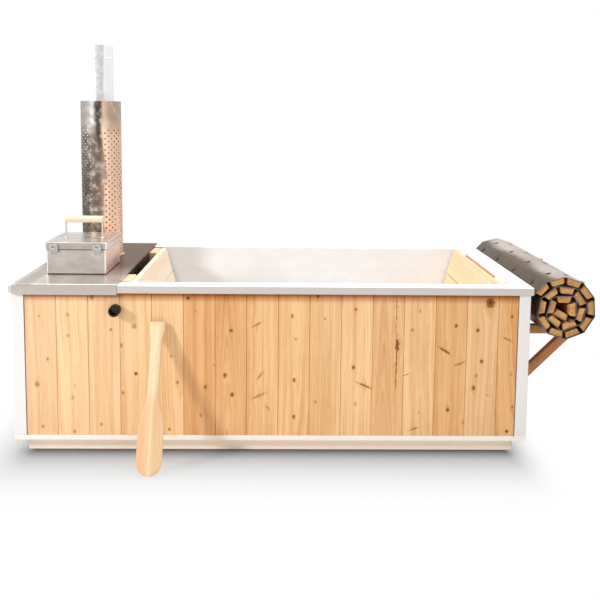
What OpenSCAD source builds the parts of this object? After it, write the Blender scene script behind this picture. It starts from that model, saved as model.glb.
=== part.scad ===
// Wood-burning hot tub: a white sheet-metal tub clad in cedar, with a submerged stove under a steel
// counter at the left end, two slatted backrests, a roll-up slat cover in its cradle and a stirring paddle.
// Frame: +X along the tub to the right, -Y to the front, +Z up, origin under the middle of the base.

/* [Tub] */
// Length over the rim
tub_l = 2140; // [1900:10:2500]
// Width over the rim
tub_w = 1220; // [1000:10:1500]
// Height of the rim's top above the ground
tub_h = 705; // [620:5:850]
// Width of the rim's flat top
rim_w = 90; // [70:1:110]
// Height of the rim's outer band
rim_h = 31; // [20:1:50]
// How far the rim overhangs the corner posts
rim_over = 10; // [7:1:20]
// Thickness of the tank's and the rim's sheet
sheet_t = 3; // [2:0.5:5]
// Radius of the tank's upright corners, inside
tank_r = 30; // [10:1:80]
// Height of the tank's floor above the ground
floor_h = 110; // [100:1:160]

/* [Base] */
// Height of the set-back plinth
plinth_h = 55; // [40:1:80]
// How far the plinth is set back from the posts
plinth_inset = 45; // [20:1:100]
// Height of the white rail under the boards
rail_h = 21; // [15:1:40]
// Width of the rail's and the plinth's flanges
rail_w = 60; // [40:1:80]
// Width of a cross bearer
bearer_w = 60; // [40:1:100]
// Number of cross bearers
bearer_n = 5; // [3:2:9]

/* [Cladding] */
// Cover width of one cedar board
board_w = 129.5; // [80:0.5:180]
// Thickness of a board
board_t = 16; // [12:1:22]
// Width of the bevel along each board's edge
board_bevel = 3; // [1:0.5:5]
// Visible width of a corner post's leg
post_w = 48; // [30:1:80]
// Thickness of the nailing battens behind the boards
batten_t = 20; // [12:1:30]
// Height of a nailing batten
batten_h = 40; // [25:1:80]

/* [Counter] */
// Width of the steel counter along the tub
counter_w = 422; // [380:1:500]
// Distance from the rim's left edge to the counter
counter_inset = 15; // [5:1:40]
// Sheet thickness of the counter
counter_t = 2.5; // [1.5:0.5:4]
// Height of the counter's front and back apron
apron_h = 44; // [35:1:60]
// Thickness of the seal between the rim and the counter
seal_t = 3.5; // [2:0.5:6]

/* [Stove] */
// Width of the firebox
fire_w = 300; // [240:5:320]
// Length of the firebox
fire_l = 700; // [560:10:760]
// Height of the firebox
fire_h = 430; // [300:10:460]
// Plate thickness of the firebox
fire_t = 4; // [3:0.5:8]
// Height of the firebox's feet
fire_foot = 20; // [10:1:60]
// Outer diameter of the flue pipe
flue_d = 122; // [100:1:150]
// Wall thickness of the flue pipe
flue_t = 1.5; // [1:0.5:3]
// Height of the flue's top above the ground
flue_top = 1720; // [1500:10:2200]
// Distance of the flue behind the middle of the counter
flue_y = 215; // [190:5:240]
// Outer diameter of the perforated heat guard
guard_d = 192; // [170:1:230]
// Wall thickness of the heat guard
guard_t = 1.5; // [1:0.5:3]
// Height of the heat guard's top above the ground
guard_top = 1456; // [1300:4:1480]
// Diameter of a hole in the heat guard
guard_hole_d = 13; // [8:1:16]
// Number of holes in one column of the heat guard
guard_rows = 15; // [6:1:18]
// Number of hole columns round the heat guard
guard_cols = 19; // [8:1:22]

/* [Hatch] */
// Width of the fuel hatch box
hatch_w = 254; // [220:1:300]
// Length of the fuel hatch box
hatch_l = 348; // [280:1:360]
// Distance of the hatch's middle in front of the counter's middle
hatch_y = 207; // [195:1:230]
// Height of the hatch box's walls
hatch_h = 120; // [90:1:150]
// Sheet thickness of the hatch and its lid
hatch_t = 2; // [1:0.5:4]
// Depth of the lid's skirt
skirt_h = 27; // [20:1:40]
// Clearance between the lid's skirt and the box
skirt_gap = 3; // [2:0.5:5]
// Diameter of the lid's hinge pin
hinge_pin_d = 5; // [3:0.5:6]
// Length of the lid's hinge
hinge_w = 200; // [150:5:220]
// Distance between the handle's posts
handle_span = 160; // [120:1:200]
// Diameter of the wooden grip
grip_d = 30; // [24:1:36]
// Height of the grip's axis above the lid
grip_h = 82; // [60:1:100]
// Width of a snap clasp
clasp_w = 36; // [24:1:50]

/* [Air damper] */
// Diameter of an air hole in the hatch box
air_d = 22; // [16:1:26]
// Distance between the air holes, twice the damper's travel
air_pitch = 48; // [44:1:52]
// Number of air holes
air_n = 3; // [2:1:4]

/* [Overflow] */
// Outer diameter of the overflow spout
spout_d = 46; // [36:1:50]
// Bore of the overflow spout
spout_bore = 32; // [24:1:34]
// How far the spout stands out from the boards
spout_out = 46; // [30:1:60]
// Depth of the spout's middle under the rim
spout_drop = 100; // [85:1:115]

/* [Backrests] */
// Lean of the backrests from upright
lean = 16; // [10:1:20]
// Thickness of a backrest board
rest_t = 26; // [20:1:32]
// Width of a backrest board
rest_board = 129.5; // [110:0.5:150]
// Gap between the backrest boards
rest_gap = 4; // [2:1:10]
// Width of the slot between the counter and the stove fence
slot_w = 37; // [25:1:50]
// Length of the hanger blocks at the slot's ends
block_l = 168; // [100:1:250]

/* [Roll-up cover] */
// Number of slats
slat_n = 20; // [17:1:20]
// Width of a slat on its outer face
slat_w = 60; // [56:1:60]
// Width of a slat on its inner face
slat_w_in = 46; // [40:1:46]
// Thickness of a slat
slat_t = 25; // [20:1:25]
// Gap between two slats along the sheet
slat_gap = 14; // [13:0.5:15]
// Thickness of the rubber-coated sheet
skin_t = 3; // [2:0.5:3]
// Distance of the cover's ends from the rim's outer edges
cover_inset = 4; // [0:1:30]
// Distance of the innermost slat from the roll's middle
roll_d0 = 35.3; // [35:0.1:36]
// Growth of the roll's radius in one turn
roll_pitch = 37.3; // [37:0.1:38.5]

/* [Cradle] */
// Side of the cradle's square timber
timber = 38; // [30:1:50]
// Distance of a bracket's middle from the tub's middle
bracket_y = 325; // [200:5:500]
// Height of the lower end of a bracket's leg
leg_z = 180; // [120:5:260]

/* [Paddle] */
// Length of the paddle
paddle_l = 610; // [560:5:650]
// Width of the paddle's blade
blade_w = 102; // [80:1:130]
// Length of the paddle's blade
blade_l = 330; // [250:5:400]
// Width of the paddle's shaft
shaft_w = 46; // [30:1:60]
// Thickness of the paddle
paddle_t = 24; // [16:1:32]
// Distance of the paddle's foot from the wall
paddle_reach = 262; // [200:2:300]
// Place of the paddle along the tub
paddle_x = -476; // [-560:2:-440]
// Sideways tilt of the paddle
paddle_tilt = 1; // [-2:0.5:2]

/* [Drain] */
// Outer diameter of the drain's threaded end
drain_d = 33; // [26:1:42]
// Bore of the drain
drain_bore = 22; // [16:1:28]
// Distance of the drain behind the tub's middle
drain_y = 200; // [100:5:300]

/* [Hidden] */
$fn = 64;

fit_gap = 0.3;      // gap between moving pieces that rest against each other
run_gap = 0.05;     // radial clearance of a running fit

white = [0.93, 0.93, 0.92];
cedar = [0.87, 0.66, 0.42];
pine = [0.93, 0.80, 0.60];
red_cedar = [0.62, 0.36, 0.22];
steel = [0.74, 0.74, 0.73];
dark = [0.10, 0.10, 0.10];

// Outer faces of the posts and of the boards
post_x = tub_l / 2 - rim_over;
post_y = tub_w / 2 - rim_over;
post_t = sheet_t;
board_x = post_x - post_t - 0.5;
board_y = post_y - post_t - 0.5;
// Inner faces of the tank
tank_x = tub_l / 2 - rim_w;
tank_y = tub_w / 2 - rim_w;
tank_top = tub_h - sheet_t;
field_z = plinth_h + rail_h;
board_top = tub_h - sheet_t - 2;
// Bottom ring sizes
plinth_x = post_x - plinth_inset;
plinth_y = post_y - plinth_inset;
rail_in_x = post_x - rail_w;
rail_in_y = post_y - rail_w;
panel_t = rail_h - sheet_t;

// Counter and stove
counter_x0 = -tub_l / 2 + counter_inset;
counter_x1 = counter_x0 + counter_w;
counter_xc = (counter_x0 + counter_x1) / 2;
counter_z = tub_h + seal_t + counter_t;
counter_y = tub_w / 2 + 2.5;
fire_xc = -tank_x + 15 + fire_w / 2;
fire_z0 = floor_h + fire_foot;
fire_z1 = fire_z0 + fire_h;
fire_y0 = flue_y + flue_d / 2 + 45 - fire_l;
neck_w = hatch_w - 30;
neck_l = hatch_l - 30;
neck_top = tub_h + seal_t - 1;
collar_h = 40;
guard_z0 = counter_z + 3;
spigot_l = 60;
bead_h = 5;

// Hatch
hatch_z0 = counter_z + 3;
hatch_z1 = hatch_z0 + hatch_h;
lid_seal_h = 12;
lid_in_z = hatch_z1 + lid_seal_h + fit_gap;
lid_z = lid_in_z + hatch_t;
lid_hw = hatch_w / 2 + skirt_gap + hatch_t;
lid_hl = hatch_l / 2 + skirt_gap + hatch_t;
lid_back = 4;       // extra room behind the box for the hinge side
hatch_yc = -hatch_y;
hatch_y0 = hatch_yc - hatch_l / 2;
hatch_y1 = hatch_yc + hatch_l / 2;
lid_y0 = hatch_yc - lid_hl;
lid_y1 = hatch_yc + lid_hl + lid_back;
hinge_r = hinge_pin_d / 2 + 2.5;
hinge_y = lid_y1 + hinge_r;
hinge_z = lid_z - skirt_h - hinge_r - 2;
knuckle_n = 5;
knuckle_w = hinge_w / knuckle_n;
// Clasps
clasp_x = 92;
clasp_pivot_y = hatch_y0 - 7;
clasp_pivot_z = lid_z - skirt_h - 22;
clasp_ajar = 8;
clasp_pin_r = 2;

// Air damper on the hatch box's left wall, shut at rest
air_x = counter_xc - hatch_w / 2;
air_z = hatch_z0 + 48;
air_t = 2;
air_h = air_d + 16;
air_hole_y0 = hatch_yc - (air_n - 1) / 2 * air_pitch;
air_half = air_n / 2 * air_pitch + air_pitch / 4;
// Overflow through the front wall, beside the counter's edge
spout_x = counter_x1 - 7;
spout_z = tub_h - spout_drop;
spout_tail_d = spout_d - 8;
spout_tail = 20;
nut_over = 20;

// Drain
drain_z = floor_h + 30;
valve_x = -post_x - 40;
valve_l = 56;
nipple_l = 24;
ball_d = drain_bore + 12;
stem_r = 5;
stem_d = 22;
neck_h = 22;
lever_w = 16;
lever_l = 90;

// Backrests
rest_top = tub_h - 2 - rest_t * sin(lean);
rest_slope = (rest_top - floor_h) / cos(lean);
rest_span = 2 * (tank_y - 15);
fence_x = counter_x1 + slot_w;
rest_x = tank_x - 10;
rest_step = rest_board + rest_gap;
rest_n = ceil(rest_slope / rest_step);
batten_side = 32;
block_top = tub_h - 3;
block_h = 45;
block_y0 = -tank_y + tank_r;
hook_l = 22;
hook_t = 8;

// Cradle and roll
cover_l = tub_w - 2 * cover_inset;
slat_pitch = slat_w + slat_gap;
phis = [for (i = 0, a = 0; i < slat_n;
    a = a + slat_pitch / (roll_d0 + roll_pitch * a / 360) * 180 / PI, i = i + 1) a];
dists = [for (a = phis) roll_d0 + roll_pitch * a / 360];
// The whole spiral is turned so that its outer end lies at the upper left, by the rim
last_slat = slat_n - 1;
roll_turn = 137 - phis[last_slat];
// Point on slat i, u along the sheet and v outward from the slat's outer face
function roll_pt(i, u, v) = let (a = phis[i] + roll_turn)
    [(dists[i] + v) * cos(a) - u * sin(a), (dists[i] + v) * sin(a) + u * cos(a)];
// Sheet from its inner end to its outer end, and back along its outside
skin_tail = slat_gap / 2;
skin_in = concat([roll_pt(0, -slat_w / 2 - skin_tail, 0)],
    [for (i = [0 : last_slat], u = [-slat_w / 2, slat_w / 2]) roll_pt(i, u, 0)],
    [roll_pt(last_slat, slat_w / 2 + skin_tail, 0)]);
skin_out = concat([roll_pt(last_slat, slat_w / 2 + skin_tail, skin_t)],
    [for (i = [last_slat : -1 : 0], u = [slat_w / 2, -slat_w / 2]) roll_pt(i, u, skin_t)],
    [roll_pt(0, -slat_w / 2 - skin_tail, skin_t)]);
roll_left = min([for (p = skin_out) p[0]]);
roll_right = max([for (p = skin_out) p[0]]);
roll_low = min([for (p = skin_out) p[1]]);
roll_x = tub_l / 2 + 0.5 - roll_left;
arm_z = 492;
roll_z = arm_z + fit_gap - roll_low;
stop_x = roll_x + roll_right + 0.5;
stop_top = tub_h + 5;
arm_x1 = stop_x + timber;
leg_x0 = board_x;

module box(x0, x1, y0, y1, z0, z1) {
    translate([x0, y0, z0]) cube([x1 - x0, y1 - y0, z1 - z0]);
}

// Rectangle round the origin with round corners
module round_rect(hx, hy, r) {
    square([2 * hx, 2 * (hy - r)], center = true);
    square([2 * (hx - r), 2 * hy], center = true);
    for (sx = [-1, 1], sy = [-1, 1]) translate([sx * (hx - r), sy * (hy - r)]) circle(r = r);
}

// Ring of C channel, open to the inside
module channel_ring(hx, hy, flange, z0, z1, t) {
    difference() {
        box(-hx, hx, -hy, hy, z0, z1);
        box(-hx + t, hx - t, -hy + t, hy - t, z0 + t, z1 - t);
        box(-hx + flange, hx - flange, -hy + flange, hy - flange, z0 - 1, z1 + 1);
    }
}

module plinth() {
    color(white) channel_ring(plinth_x, plinth_y, rail_w - 20, 0, plinth_h, sheet_t);
}

// Timber bearers between the plinth's flanges, one of them in the middle
module bearers() {
    reach_y = plinth_y - (rail_w - 20);
    reach_x = plinth_x - (rail_w - 20) - bearer_w / 2;
    color(pine)
    for (i = [0 : bearer_n - 1])
        translate([-reach_x + 2 * reach_x * i / (bearer_n - 1), 0, 0])
        box(-bearer_w / 2, bearer_w / 2, -reach_y, reach_y, 0, plinth_h);
}

module base_panel() {
    color(pine) box(-rail_in_x, rail_in_x, -rail_in_y, rail_in_y, plinth_h, plinth_h + panel_t);
}

module bottom_rail() {
    color(white) channel_ring(post_x, post_y, rail_w, plinth_h, field_z, sheet_t);
}

module floor_insulation() {
    color("lightyellow")
    box(-tank_x, tank_x, -tank_y, tank_y, plinth_h + panel_t, floor_h - sheet_t);
}

// Four foam boards between the tank and the battens
module wall_insulation() {
    x0 = tank_x + sheet_t;
    y0 = tank_y + sheet_t;
    x1 = board_x - board_t - batten_t;
    y1 = board_y - board_t - batten_t;
    color("lightyellow") difference() {
        union() {
            for (s = [0, 1]) {
                mirror([0, s, 0]) box(-x1, x1, y0, y1, field_z, tank_top);
                mirror([s, 0, 0]) box(x0, x1, -y0, y0, field_z, tank_top);
            }
        }
        drain_cut();
        spout_cut();
    }
}

// Three rows of nailing battens on each wall
module battens() {
    bx = board_x - board_t;
    by = board_y - board_t;
    row_step = (board_top - field_z - batten_h - 90) / 2;
    color(pine) difference() {
        for (row = [0 : 2], s = [0, 1]) {
            z = field_z + 40 + row * row_step;
            mirror([0, s, 0]) box(-post_x + post_t, post_x - post_t, -by, -by + batten_t, z, z + batten_h);
            mirror([s, 0, 0])
                box(-bx, -bx + batten_t, -by + batten_t + 1, by - batten_t - 1, z, z + batten_h);
        }
        spout_cut();
        drain_cut();
    }
}

// Angle section with a rounded outer edge
module post_section() {
    difference() {
        union() {
            translate([-post_w, -post_w]) square([post_w - 3, post_w]);
            translate([-post_w, -post_w]) square([post_w, post_w - 3]);
            translate([-3, -3]) circle(r = 3);
        }
        translate([-post_w - 1, -post_w - 1]) square([post_w + 1 - post_t, post_w + 1 - post_t]);
    }
}

module corner_posts() {
    color(white)
    for (sx = [0, 1], sy = [0, 1])
        mirror([sx, 0, 0]) mirror([0, sy, 0])
        translate([post_x, post_y, field_z])
        linear_extrude(tank_top - field_z) post_section();
}

// Cross-section of one board, face at y = 0, tongue to the right and groove to the left
module board_section(w, first, last) {
    tongue = 6;
    tongue_t = 5;
    b = board_bevel;
    difference() {
        union() {
            polygon([[b, 0], [w - b, 0], [w, b], [w, board_t], [0, board_t], [0, b]]);
            if (!last)
                translate([w - 1, board_t / 2 - tongue_t / 2 + 0.5]) square([tongue + 1, tongue_t - 1]);
        }
        if (!first) translate([-1, board_t / 2 - tongue_t / 2]) square([tongue + 2, tongue_t]);
    }
}

// A field of boards from x = 0 to x = length, the last one ripped to fit
module board_field(length) {
    count = ceil(length / board_w - 0.05);
    for (i = [0 : count - 1]) {
        w = min(board_w, length - i * board_w);
        translate([i * board_w, 0, field_z])
        linear_extrude(board_top - field_z) board_section(w - 0.4, i == 0, i == count - 1);
    }
}

field_x = post_x - post_w - 0.5;
field_y = post_y - post_w - 0.5;

module front_boards() {
    color(cedar) difference() {
        translate([-field_x, -board_y, 0]) board_field(2 * field_x);
        spout_cut();
    }
}

module back_boards() {
    color(cedar) rotate(180) translate([-field_x, -board_y, 0]) board_field(2 * field_x);
}

module left_boards() {
    color(cedar) difference() {
        rotate(-90) translate([-field_y, -board_x, 0]) board_field(2 * field_y);
        drain_cut();
    }
}

module right_boards() {
    color(cedar) rotate(90) translate([-field_y, -board_x, 0]) board_field(2 * field_y);
}

// Clearance holes through the walls
module spout_cut() {
    translate([spout_x, -post_y - 5, spout_z]) rotate([-90, 0, 0])
        cylinder(d = spout_d + 2 * fit_gap, h = post_y - tank_y - sheet_t + 6);
}
module spout_tail_cut() {
    translate([spout_x, -tank_y - sheet_t - 2, spout_z]) rotate([-90, 0, 0])
        cylinder(d = spout_tail_d + 2 * run_gap, h = sheet_t + 4);
}
module drain_cut() {
    translate([-post_x - 5, drain_y, drain_z]) rotate([0, 90, 0])
        cylinder(d = drain_d + 2 * fit_gap, h = post_x - tank_x + 10);
}

module tank() {
    z0 = floor_h - sheet_t;
    color(white) difference() {
        translate([0, 0, z0]) linear_extrude(tank_top - z0)
            round_rect(tank_x + sheet_t, tank_y + sheet_t, tank_r + sheet_t);
        translate([0, 0, z0 - 1]) linear_extrude(tub_h) round_rect(tank_x, tank_y, tank_r);
        spout_tail_cut();
        drain_cut();
    }
}

// Floor sheet, welded in between the tank's walls
module tank_floor() {
    color(white) translate([0, 0, floor_h - sheet_t]) linear_extrude(sheet_t)
        round_rect(tank_x, tank_y, tank_r);
}

// Flat flange on the tank's edge, folded down outside over the posts
module rim() {
    hx = tub_l / 2;
    hy = tub_w / 2;
    color(white) difference() {
        translate([0, 0, tub_h - rim_h]) linear_extrude(rim_h) round_rect(hx, hy, 4);
        translate([0, 0, tub_h - rim_h - 1]) linear_extrude(rim_h + 1 - sheet_t)
            round_rect(hx - sheet_t, hy - sheet_t, 2);
        translate([0, 0, tub_h - rim_h - 2]) linear_extrude(rim_h + 4) round_rect(tank_x, tank_y, tank_r);
    }
}

module counter_seal() {
    color(dark) difference() {
        box(counter_x0 + 4, counter_x1 - counter_t - 1, -tub_w / 2, tub_w / 2, tub_h, tub_h + seal_t);
        box(-tank_x - 10, counter_x1 + 1, -tank_y - 10, tank_y + 10, tub_h - 1, tub_h + seal_t + 1);
    }
}

// Folded steel sheet: top, front and back apron, and a short fold along the slot
module counter() {
    top_in = counter_z - counter_t;
    color(steel) difference() {
        union() {
            box(counter_x0, counter_x1, -counter_y, counter_y, top_in, counter_z);
            for (s = [0, 1]) mirror([0, s, 0])
                box(counter_x0, counter_x1, -counter_y, -counter_y + counter_t,
                    counter_z - apron_h, counter_z);
            box(counter_x1 - counter_t, counter_x1, -tank_y + 4, tank_y - 4, counter_z - 30, counter_z);
        }
        translate([counter_xc, hatch_yc, 0])
            box(-neck_w / 2 - 2, neck_w / 2 + 2, -neck_l / 2 - 2, neck_l / 2 + 2, top_in - 1, counter_z + 1);
        translate([counter_xc, flue_y, top_in - 1]) cylinder(d = flue_d + 4, h = counter_t + 2);
    }
}

// Submerged stove: body on four feet, loading neck and flue collar
module firebox() {
    hw = fire_w / 2;
    y1 = fire_y0 + fire_l;
    yc = (fire_y0 + y1) / 2;
    nx = neck_w / 2;
    ny = neck_l / 2;
    color([0.62, 0.62, 0.61]) difference() {
        union() {
            translate([fire_xc, yc, fire_z0]) linear_extrude(fire_h) round_rect(hw, fire_l / 2, 30);
            translate([counter_xc, hatch_yc, 0]) box(-nx, nx, -ny, ny, fire_z1 - 1, neck_top);
            translate([counter_xc, flue_y, fire_z1 - 1])
                cylinder(d = flue_d + 2 * fit_gap + 8, h = collar_h + 1);
            for (sx = [-1, 1], sy = [-1, 1])
                translate([fire_xc + sx * (hw - 50), yc + sy * (fire_l / 2 - 60), floor_h])
                cylinder(d = 40, h = fire_foot + 1);
        }
        translate([fire_xc, yc, fire_z0 + fire_t]) linear_extrude(fire_h - 2 * fire_t)
            round_rect(hw - fire_t, fire_l / 2 - fire_t, 26);
        translate([counter_xc, hatch_yc, 0])
            box(-nx + fire_t, nx - fire_t, -ny + fire_t, ny - fire_t, fire_z1 - fire_t - 1, neck_top + 1);
        translate([counter_xc, flue_y, fire_z1 - fire_t - 1]) cylinder(d = flue_d - 12, h = fire_t + 2);
        translate([counter_xc, flue_y, fire_z1]) cylinder(d = flue_d + 2 * fit_gap, h = collar_h + 1);
    }
}

// Ash grate: a frame with bars, on two side rails
module fire_grate() {
    bars = 9;
    bar_t = 12;
    frame_w = 16;
    slot_l = 8;
    gx = fire_w / 2 - fire_t - 8;
    y0 = fire_y0 + 2.5 * frame_w;
    y1 = fire_y0 + fire_l - 2.5 * frame_w;
    z0 = fire_z0 + fire_t + 30;
    step = 2 * (gx - frame_w) / bars;
    color([0.25, 0.25, 0.25]) translate([fire_xc, 0, 0]) {
        difference() {
            box(-gx, gx, y0, y1, z0, z0 + bar_t);
            for (i = [0 : bars - 1])
                translate([-gx + frame_w + i * step, 0, 0])
                box(0, step - slot_l, y0 + frame_w, y1 - frame_w, z0 - 1, z0 + bar_t + 1);
        }
        for (s = [0, 1]) mirror([s, 0, 0]) box(gx - slot_l, gx, y0, y1, fire_z0 + fire_t, z0);
    }
}

// Pipe with a rolled bead that stops the next length of pipe
module flue_pipe() {
    color(steel) translate([counter_xc, flue_y, 0]) difference() {
        union() {
            translate([0, 0, fire_z1]) cylinder(d = flue_d, h = flue_top - fire_z1);
            translate([0, 0, flue_top - spigot_l - bead_h]) cylinder(d = flue_d + 3, h = bead_h);
        }
        translate([0, 0, fire_z1 - 1]) cylinder(d = flue_d - 2 * flue_t, h = flue_top);
    }
}

module flue_flange() {
    color(steel) translate([counter_xc, flue_y, counter_z]) difference() {
        union() {
            cylinder(d = guard_d + 16, h = 3);
            cylinder(d = flue_d + 14, h = 16);
        }
        translate([0, 0, -1]) cylinder(d = flue_d + 2 * fit_gap, h = 20);
    }
}

// Rolled sheet with a plain seam strip in front, a plain band on top and staggered holes
module heat_guard() {
    length = guard_top - guard_z0;
    plain_top = 125;
    plain_bottom = 20;
    row_pitch = (length - plain_top - plain_bottom) / guard_rows;
    seam_angle = 30;
    col_step = (360 - seam_angle) / guard_cols;
    color([0.72, 0.66, 0.58]) translate([counter_xc, flue_y, guard_z0]) {
        difference() {
            cylinder(d = guard_d, h = length);
            translate([0, 0, -1]) cylinder(d = guard_d - 2 * guard_t, h = length + 2);
            for (row = [0 : guard_rows - 1], col = [0 : guard_cols - 1])
                translate([0, 0, plain_bottom + (row + 0.25 + (col % 2) * 0.5) * row_pitch])
                rotate([90, 0, (seam_angle + col_step) / 2 + col * col_step])
                translate([0, 0, guard_d / 2 - guard_t - 3])
                cylinder(d = guard_hole_d, h = guard_t + 6, $fn = 16);
        }
    }
}

// Ribs that hold the guard off the pipe, three low and three high
module guard_spacers() {
    r0 = flue_d / 2;
    r1 = guard_d / 2 - guard_t;
    color(steel)
    for (z = [guard_z0 + 30, guard_top - 50], a = [30 : 120 : 270])
        translate([counter_xc, flue_y, z]) rotate(a)
        intersection() {
            difference() {
                cylinder(r = r1, h = 20);
                translate([0, 0, -1]) cylinder(r = r0, h = 22);
            }
            box(0, guard_d, -1.5, 1.5, 0, 20);
        }
}

module hatch_seal() {
    hx = hatch_w / 2 - 3;
    hy = hatch_l / 2 - 3;
    color(dark) translate([counter_xc, hatch_yc, 0]) difference() {
        box(-hx, hx, -hy, hy, counter_z, hatch_z0);
        box(-hx + 10, hx - 10, -hy + 10, hy - 10, counter_z - 1, hatch_z0 + 1);
    }
}

// Steel box, open through, with a flange folded in at the top and the bottom
module hatch_box() {
    hx = hatch_w / 2;
    hy = hatch_l / 2;
    fold = 14;
    color(steel) difference() {
        translate([counter_xc, hatch_yc, 0]) hatch_shell(hx, hy, fold);
        for (i = [0 : air_n - 1])
            translate([air_x - 1, air_hole_y0 + i * air_pitch, air_z]) rotate([0, 90, 0])
            cylinder(d = air_d, h = hatch_t + 2);
    }
}

module hatch_shell(hx, hy, fold) {
    difference() {
        translate([0, 0, hatch_z0]) linear_extrude(hatch_h) round_rect(hx, hy, 4);
        box(-hx + hatch_t, hx - hatch_t, -hy + hatch_t, hy - hatch_t, hatch_z0 + hatch_t, hatch_z1 - hatch_t);
        box(-hx + fold, hx - fold, -hy + fold, hy - fold, hatch_z0 - 1, hatch_z1 + 1);
    }
}

module lid_seal() {
    hx = hatch_w / 2 - 1;
    hy = hatch_l / 2 - 1;
    color(dark) translate([counter_xc, hatch_yc, hatch_z1]) difference() {
        linear_extrude(lid_seal_h) round_rect(hx, hy, 4);
        box(-hx + 11, hx - 11, -hy + 11, hy - 11, -1, lid_seal_h + 1);
    }
}

// Hinge barrel along X, from x = a to x = b, with a running bore
module knuckle(a, b) {
    translate([counter_xc + a, hinge_y, hinge_z]) rotate([0, 90, 0]) difference() {
        cylinder(r = hinge_r, h = b - a);
        translate([0, 0, -1]) cylinder(r = hinge_pin_d / 2 + run_gap, h = b - a + 2);
    }
}

module hinge_bore() {
    translate([counter_xc - hinge_w / 2 - 5, hinge_y, hinge_z]) rotate([0, 90, 0])
        cylinder(r = hinge_pin_d / 2 + run_gap, h = hinge_w + 10);
}

// Fixed leaf on the back of the box, with three knuckles
module hinge_leaf() {
    color(steel) difference() {
        union() {
            translate([counter_xc, 0, 0])
                box(-hinge_w / 2, hinge_w / 2, hatch_y1, hatch_y1 + 2, hinge_z - 25, hinge_z + 1);
            for (i = [0 : 2 : knuckle_n - 1]) {
                a = -hinge_w / 2 + i * knuckle_w;
                translate([counter_xc + a, hinge_y, hinge_z]) rotate([0, 90, 0])
                    cylinder(r = hinge_r, h = knuckle_w);
                translate([counter_xc, 0, 0])
                    box(a, a + knuckle_w, hatch_y1, hinge_y, hinge_z - 1, hinge_z + 1);
            }
        }
        hinge_bore();
    }
}

module hinge_pin() {
    color(steel) translate([counter_xc - hinge_w / 2 - 2, hinge_y, hinge_z]) rotate([0, 90, 0])
        cylinder(d = hinge_pin_d, h = hinge_w + 4);
}

// Lid with a folded skirt, a hem along its lower edge, and the moving knuckles
module hatch_lid() {
    yc = (lid_y0 + lid_y1) / 2;
    hl = (lid_y1 - lid_y0) / 2;
    skirt_z = lid_z - skirt_h;
    hem = 2;
    side_gap = 0.3;
    color(steel) difference() {
        union() {
            translate([counter_xc, yc, skirt_z]) linear_extrude(skirt_h) round_rect(lid_hw, hl, 5);
            translate([counter_xc, yc - hem / 2, skirt_z]) linear_extrude(4)
                round_rect(lid_hw + hem, hl + hem / 2, 5);
            for (i = [1 : 2 : knuckle_n - 2]) {
                a = -hinge_w / 2 + i * knuckle_w + side_gap;
                b = a + knuckle_w - 2 * side_gap;
                translate([counter_xc + a, hinge_y, hinge_z]) rotate([0, 90, 0])
                    cylinder(r = hinge_r, h = b - a);
                translate([counter_xc, 0, 0]) box(a, b, lid_y1, lid_y1 + 2, hinge_z, lid_z - 4);
            }
        }
        translate([counter_xc, yc, skirt_z - 1]) linear_extrude(skirt_h + 1 - hatch_t)
            round_rect(lid_hw - hatch_t, hl - hatch_t, 3);
        hinge_bore();
    }
}

// Nubs on the lid's front skirt that the clasps snap over
module lid_keepers() {
    color(steel)
    for (s = [-1, 1])
        translate([counter_xc + s * clasp_x, lid_y0, clasp_pivot_z + 36]) rotate([90, 0, 0])
        cylinder(d = 7, h = 6);
}

// Bases on the box with two ears and the clasp's pin
module latch_bases() {
    color(steel)
    for (s = [-1, 1]) translate([counter_xc + s * clasp_x, 0, 0]) {
        box(-clasp_w / 2, clasp_w / 2, hatch_y0 - 2, hatch_y0, clasp_pivot_z - 10, clasp_pivot_z + 10);
        for (e = [-1, 1]) {
            ear = e < 0 ? 1 - clasp_w / 2 : clasp_w / 2 - 4;
            box(ear, ear + 3, clasp_pivot_y, hatch_y0 - 1, clasp_pivot_z - 4, clasp_pivot_z + 4);
            translate([ear, clasp_pivot_y, clasp_pivot_z]) rotate([0, 90, 0]) cylinder(r = 4, h = 3);
        }
        translate([-clasp_w / 2 + 3, clasp_pivot_y, clasp_pivot_z]) rotate([0, 90, 0])
            cylinder(r = clasp_pin_r, h = clasp_w - 6);
    }
}

// Clasp plate with a barrel round the pin, a window for the nub and a finger tab, standing ajar
module clasp(s) {
    reach = 44;
    barrel = clasp_w - 9;
    plate_y = clasp_pivot_y - 5;
    color(steel)
    translate([counter_xc + s * clasp_x, clasp_pivot_y, clasp_pivot_z]) rotate([clasp_ajar, 0, 0])
    translate([0, -clasp_pivot_y, -clasp_pivot_z]) difference() {
        union() {
            translate([-barrel / 2, clasp_pivot_y, clasp_pivot_z]) rotate([0, 90, 0])
                cylinder(r = 4, h = barrel);
            box(-barrel / 2, barrel / 2, plate_y, plate_y + 2, clasp_pivot_z - 1, clasp_pivot_z + reach);
            box(-clasp_w / 2, clasp_w / 2, plate_y, plate_y + 2, clasp_pivot_z + 8, clasp_pivot_z + reach);
            box(-clasp_w / 2 + 4, clasp_w / 2 - 4, plate_y - 7, plate_y + 1,
                clasp_pivot_z + reach - 2, clasp_pivot_z + reach);
        }
        translate([-barrel / 2 - 1, clasp_pivot_y, clasp_pivot_z]) rotate([0, 90, 0])
            cylinder(r = clasp_pin_r + run_gap, h = barrel + 2);
        box(-6, 6, plate_y - 1, plate_y + 3, clasp_pivot_z + 30, clasp_pivot_z + 41.5);
    }
}
module clasp_left() { clasp(-1); }
module clasp_right() { clasp(1); }

// Steel posts with foot plates on the lid
module handle_posts() {
    color(steel)
    for (s = [-1, 1]) translate([counter_xc + s * handle_span / 2, hatch_yc, lid_z]) {
        cylinder(d = 26, h = 2.5);
        cylinder(d = 8, h = grip_h);
    }
}

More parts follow.
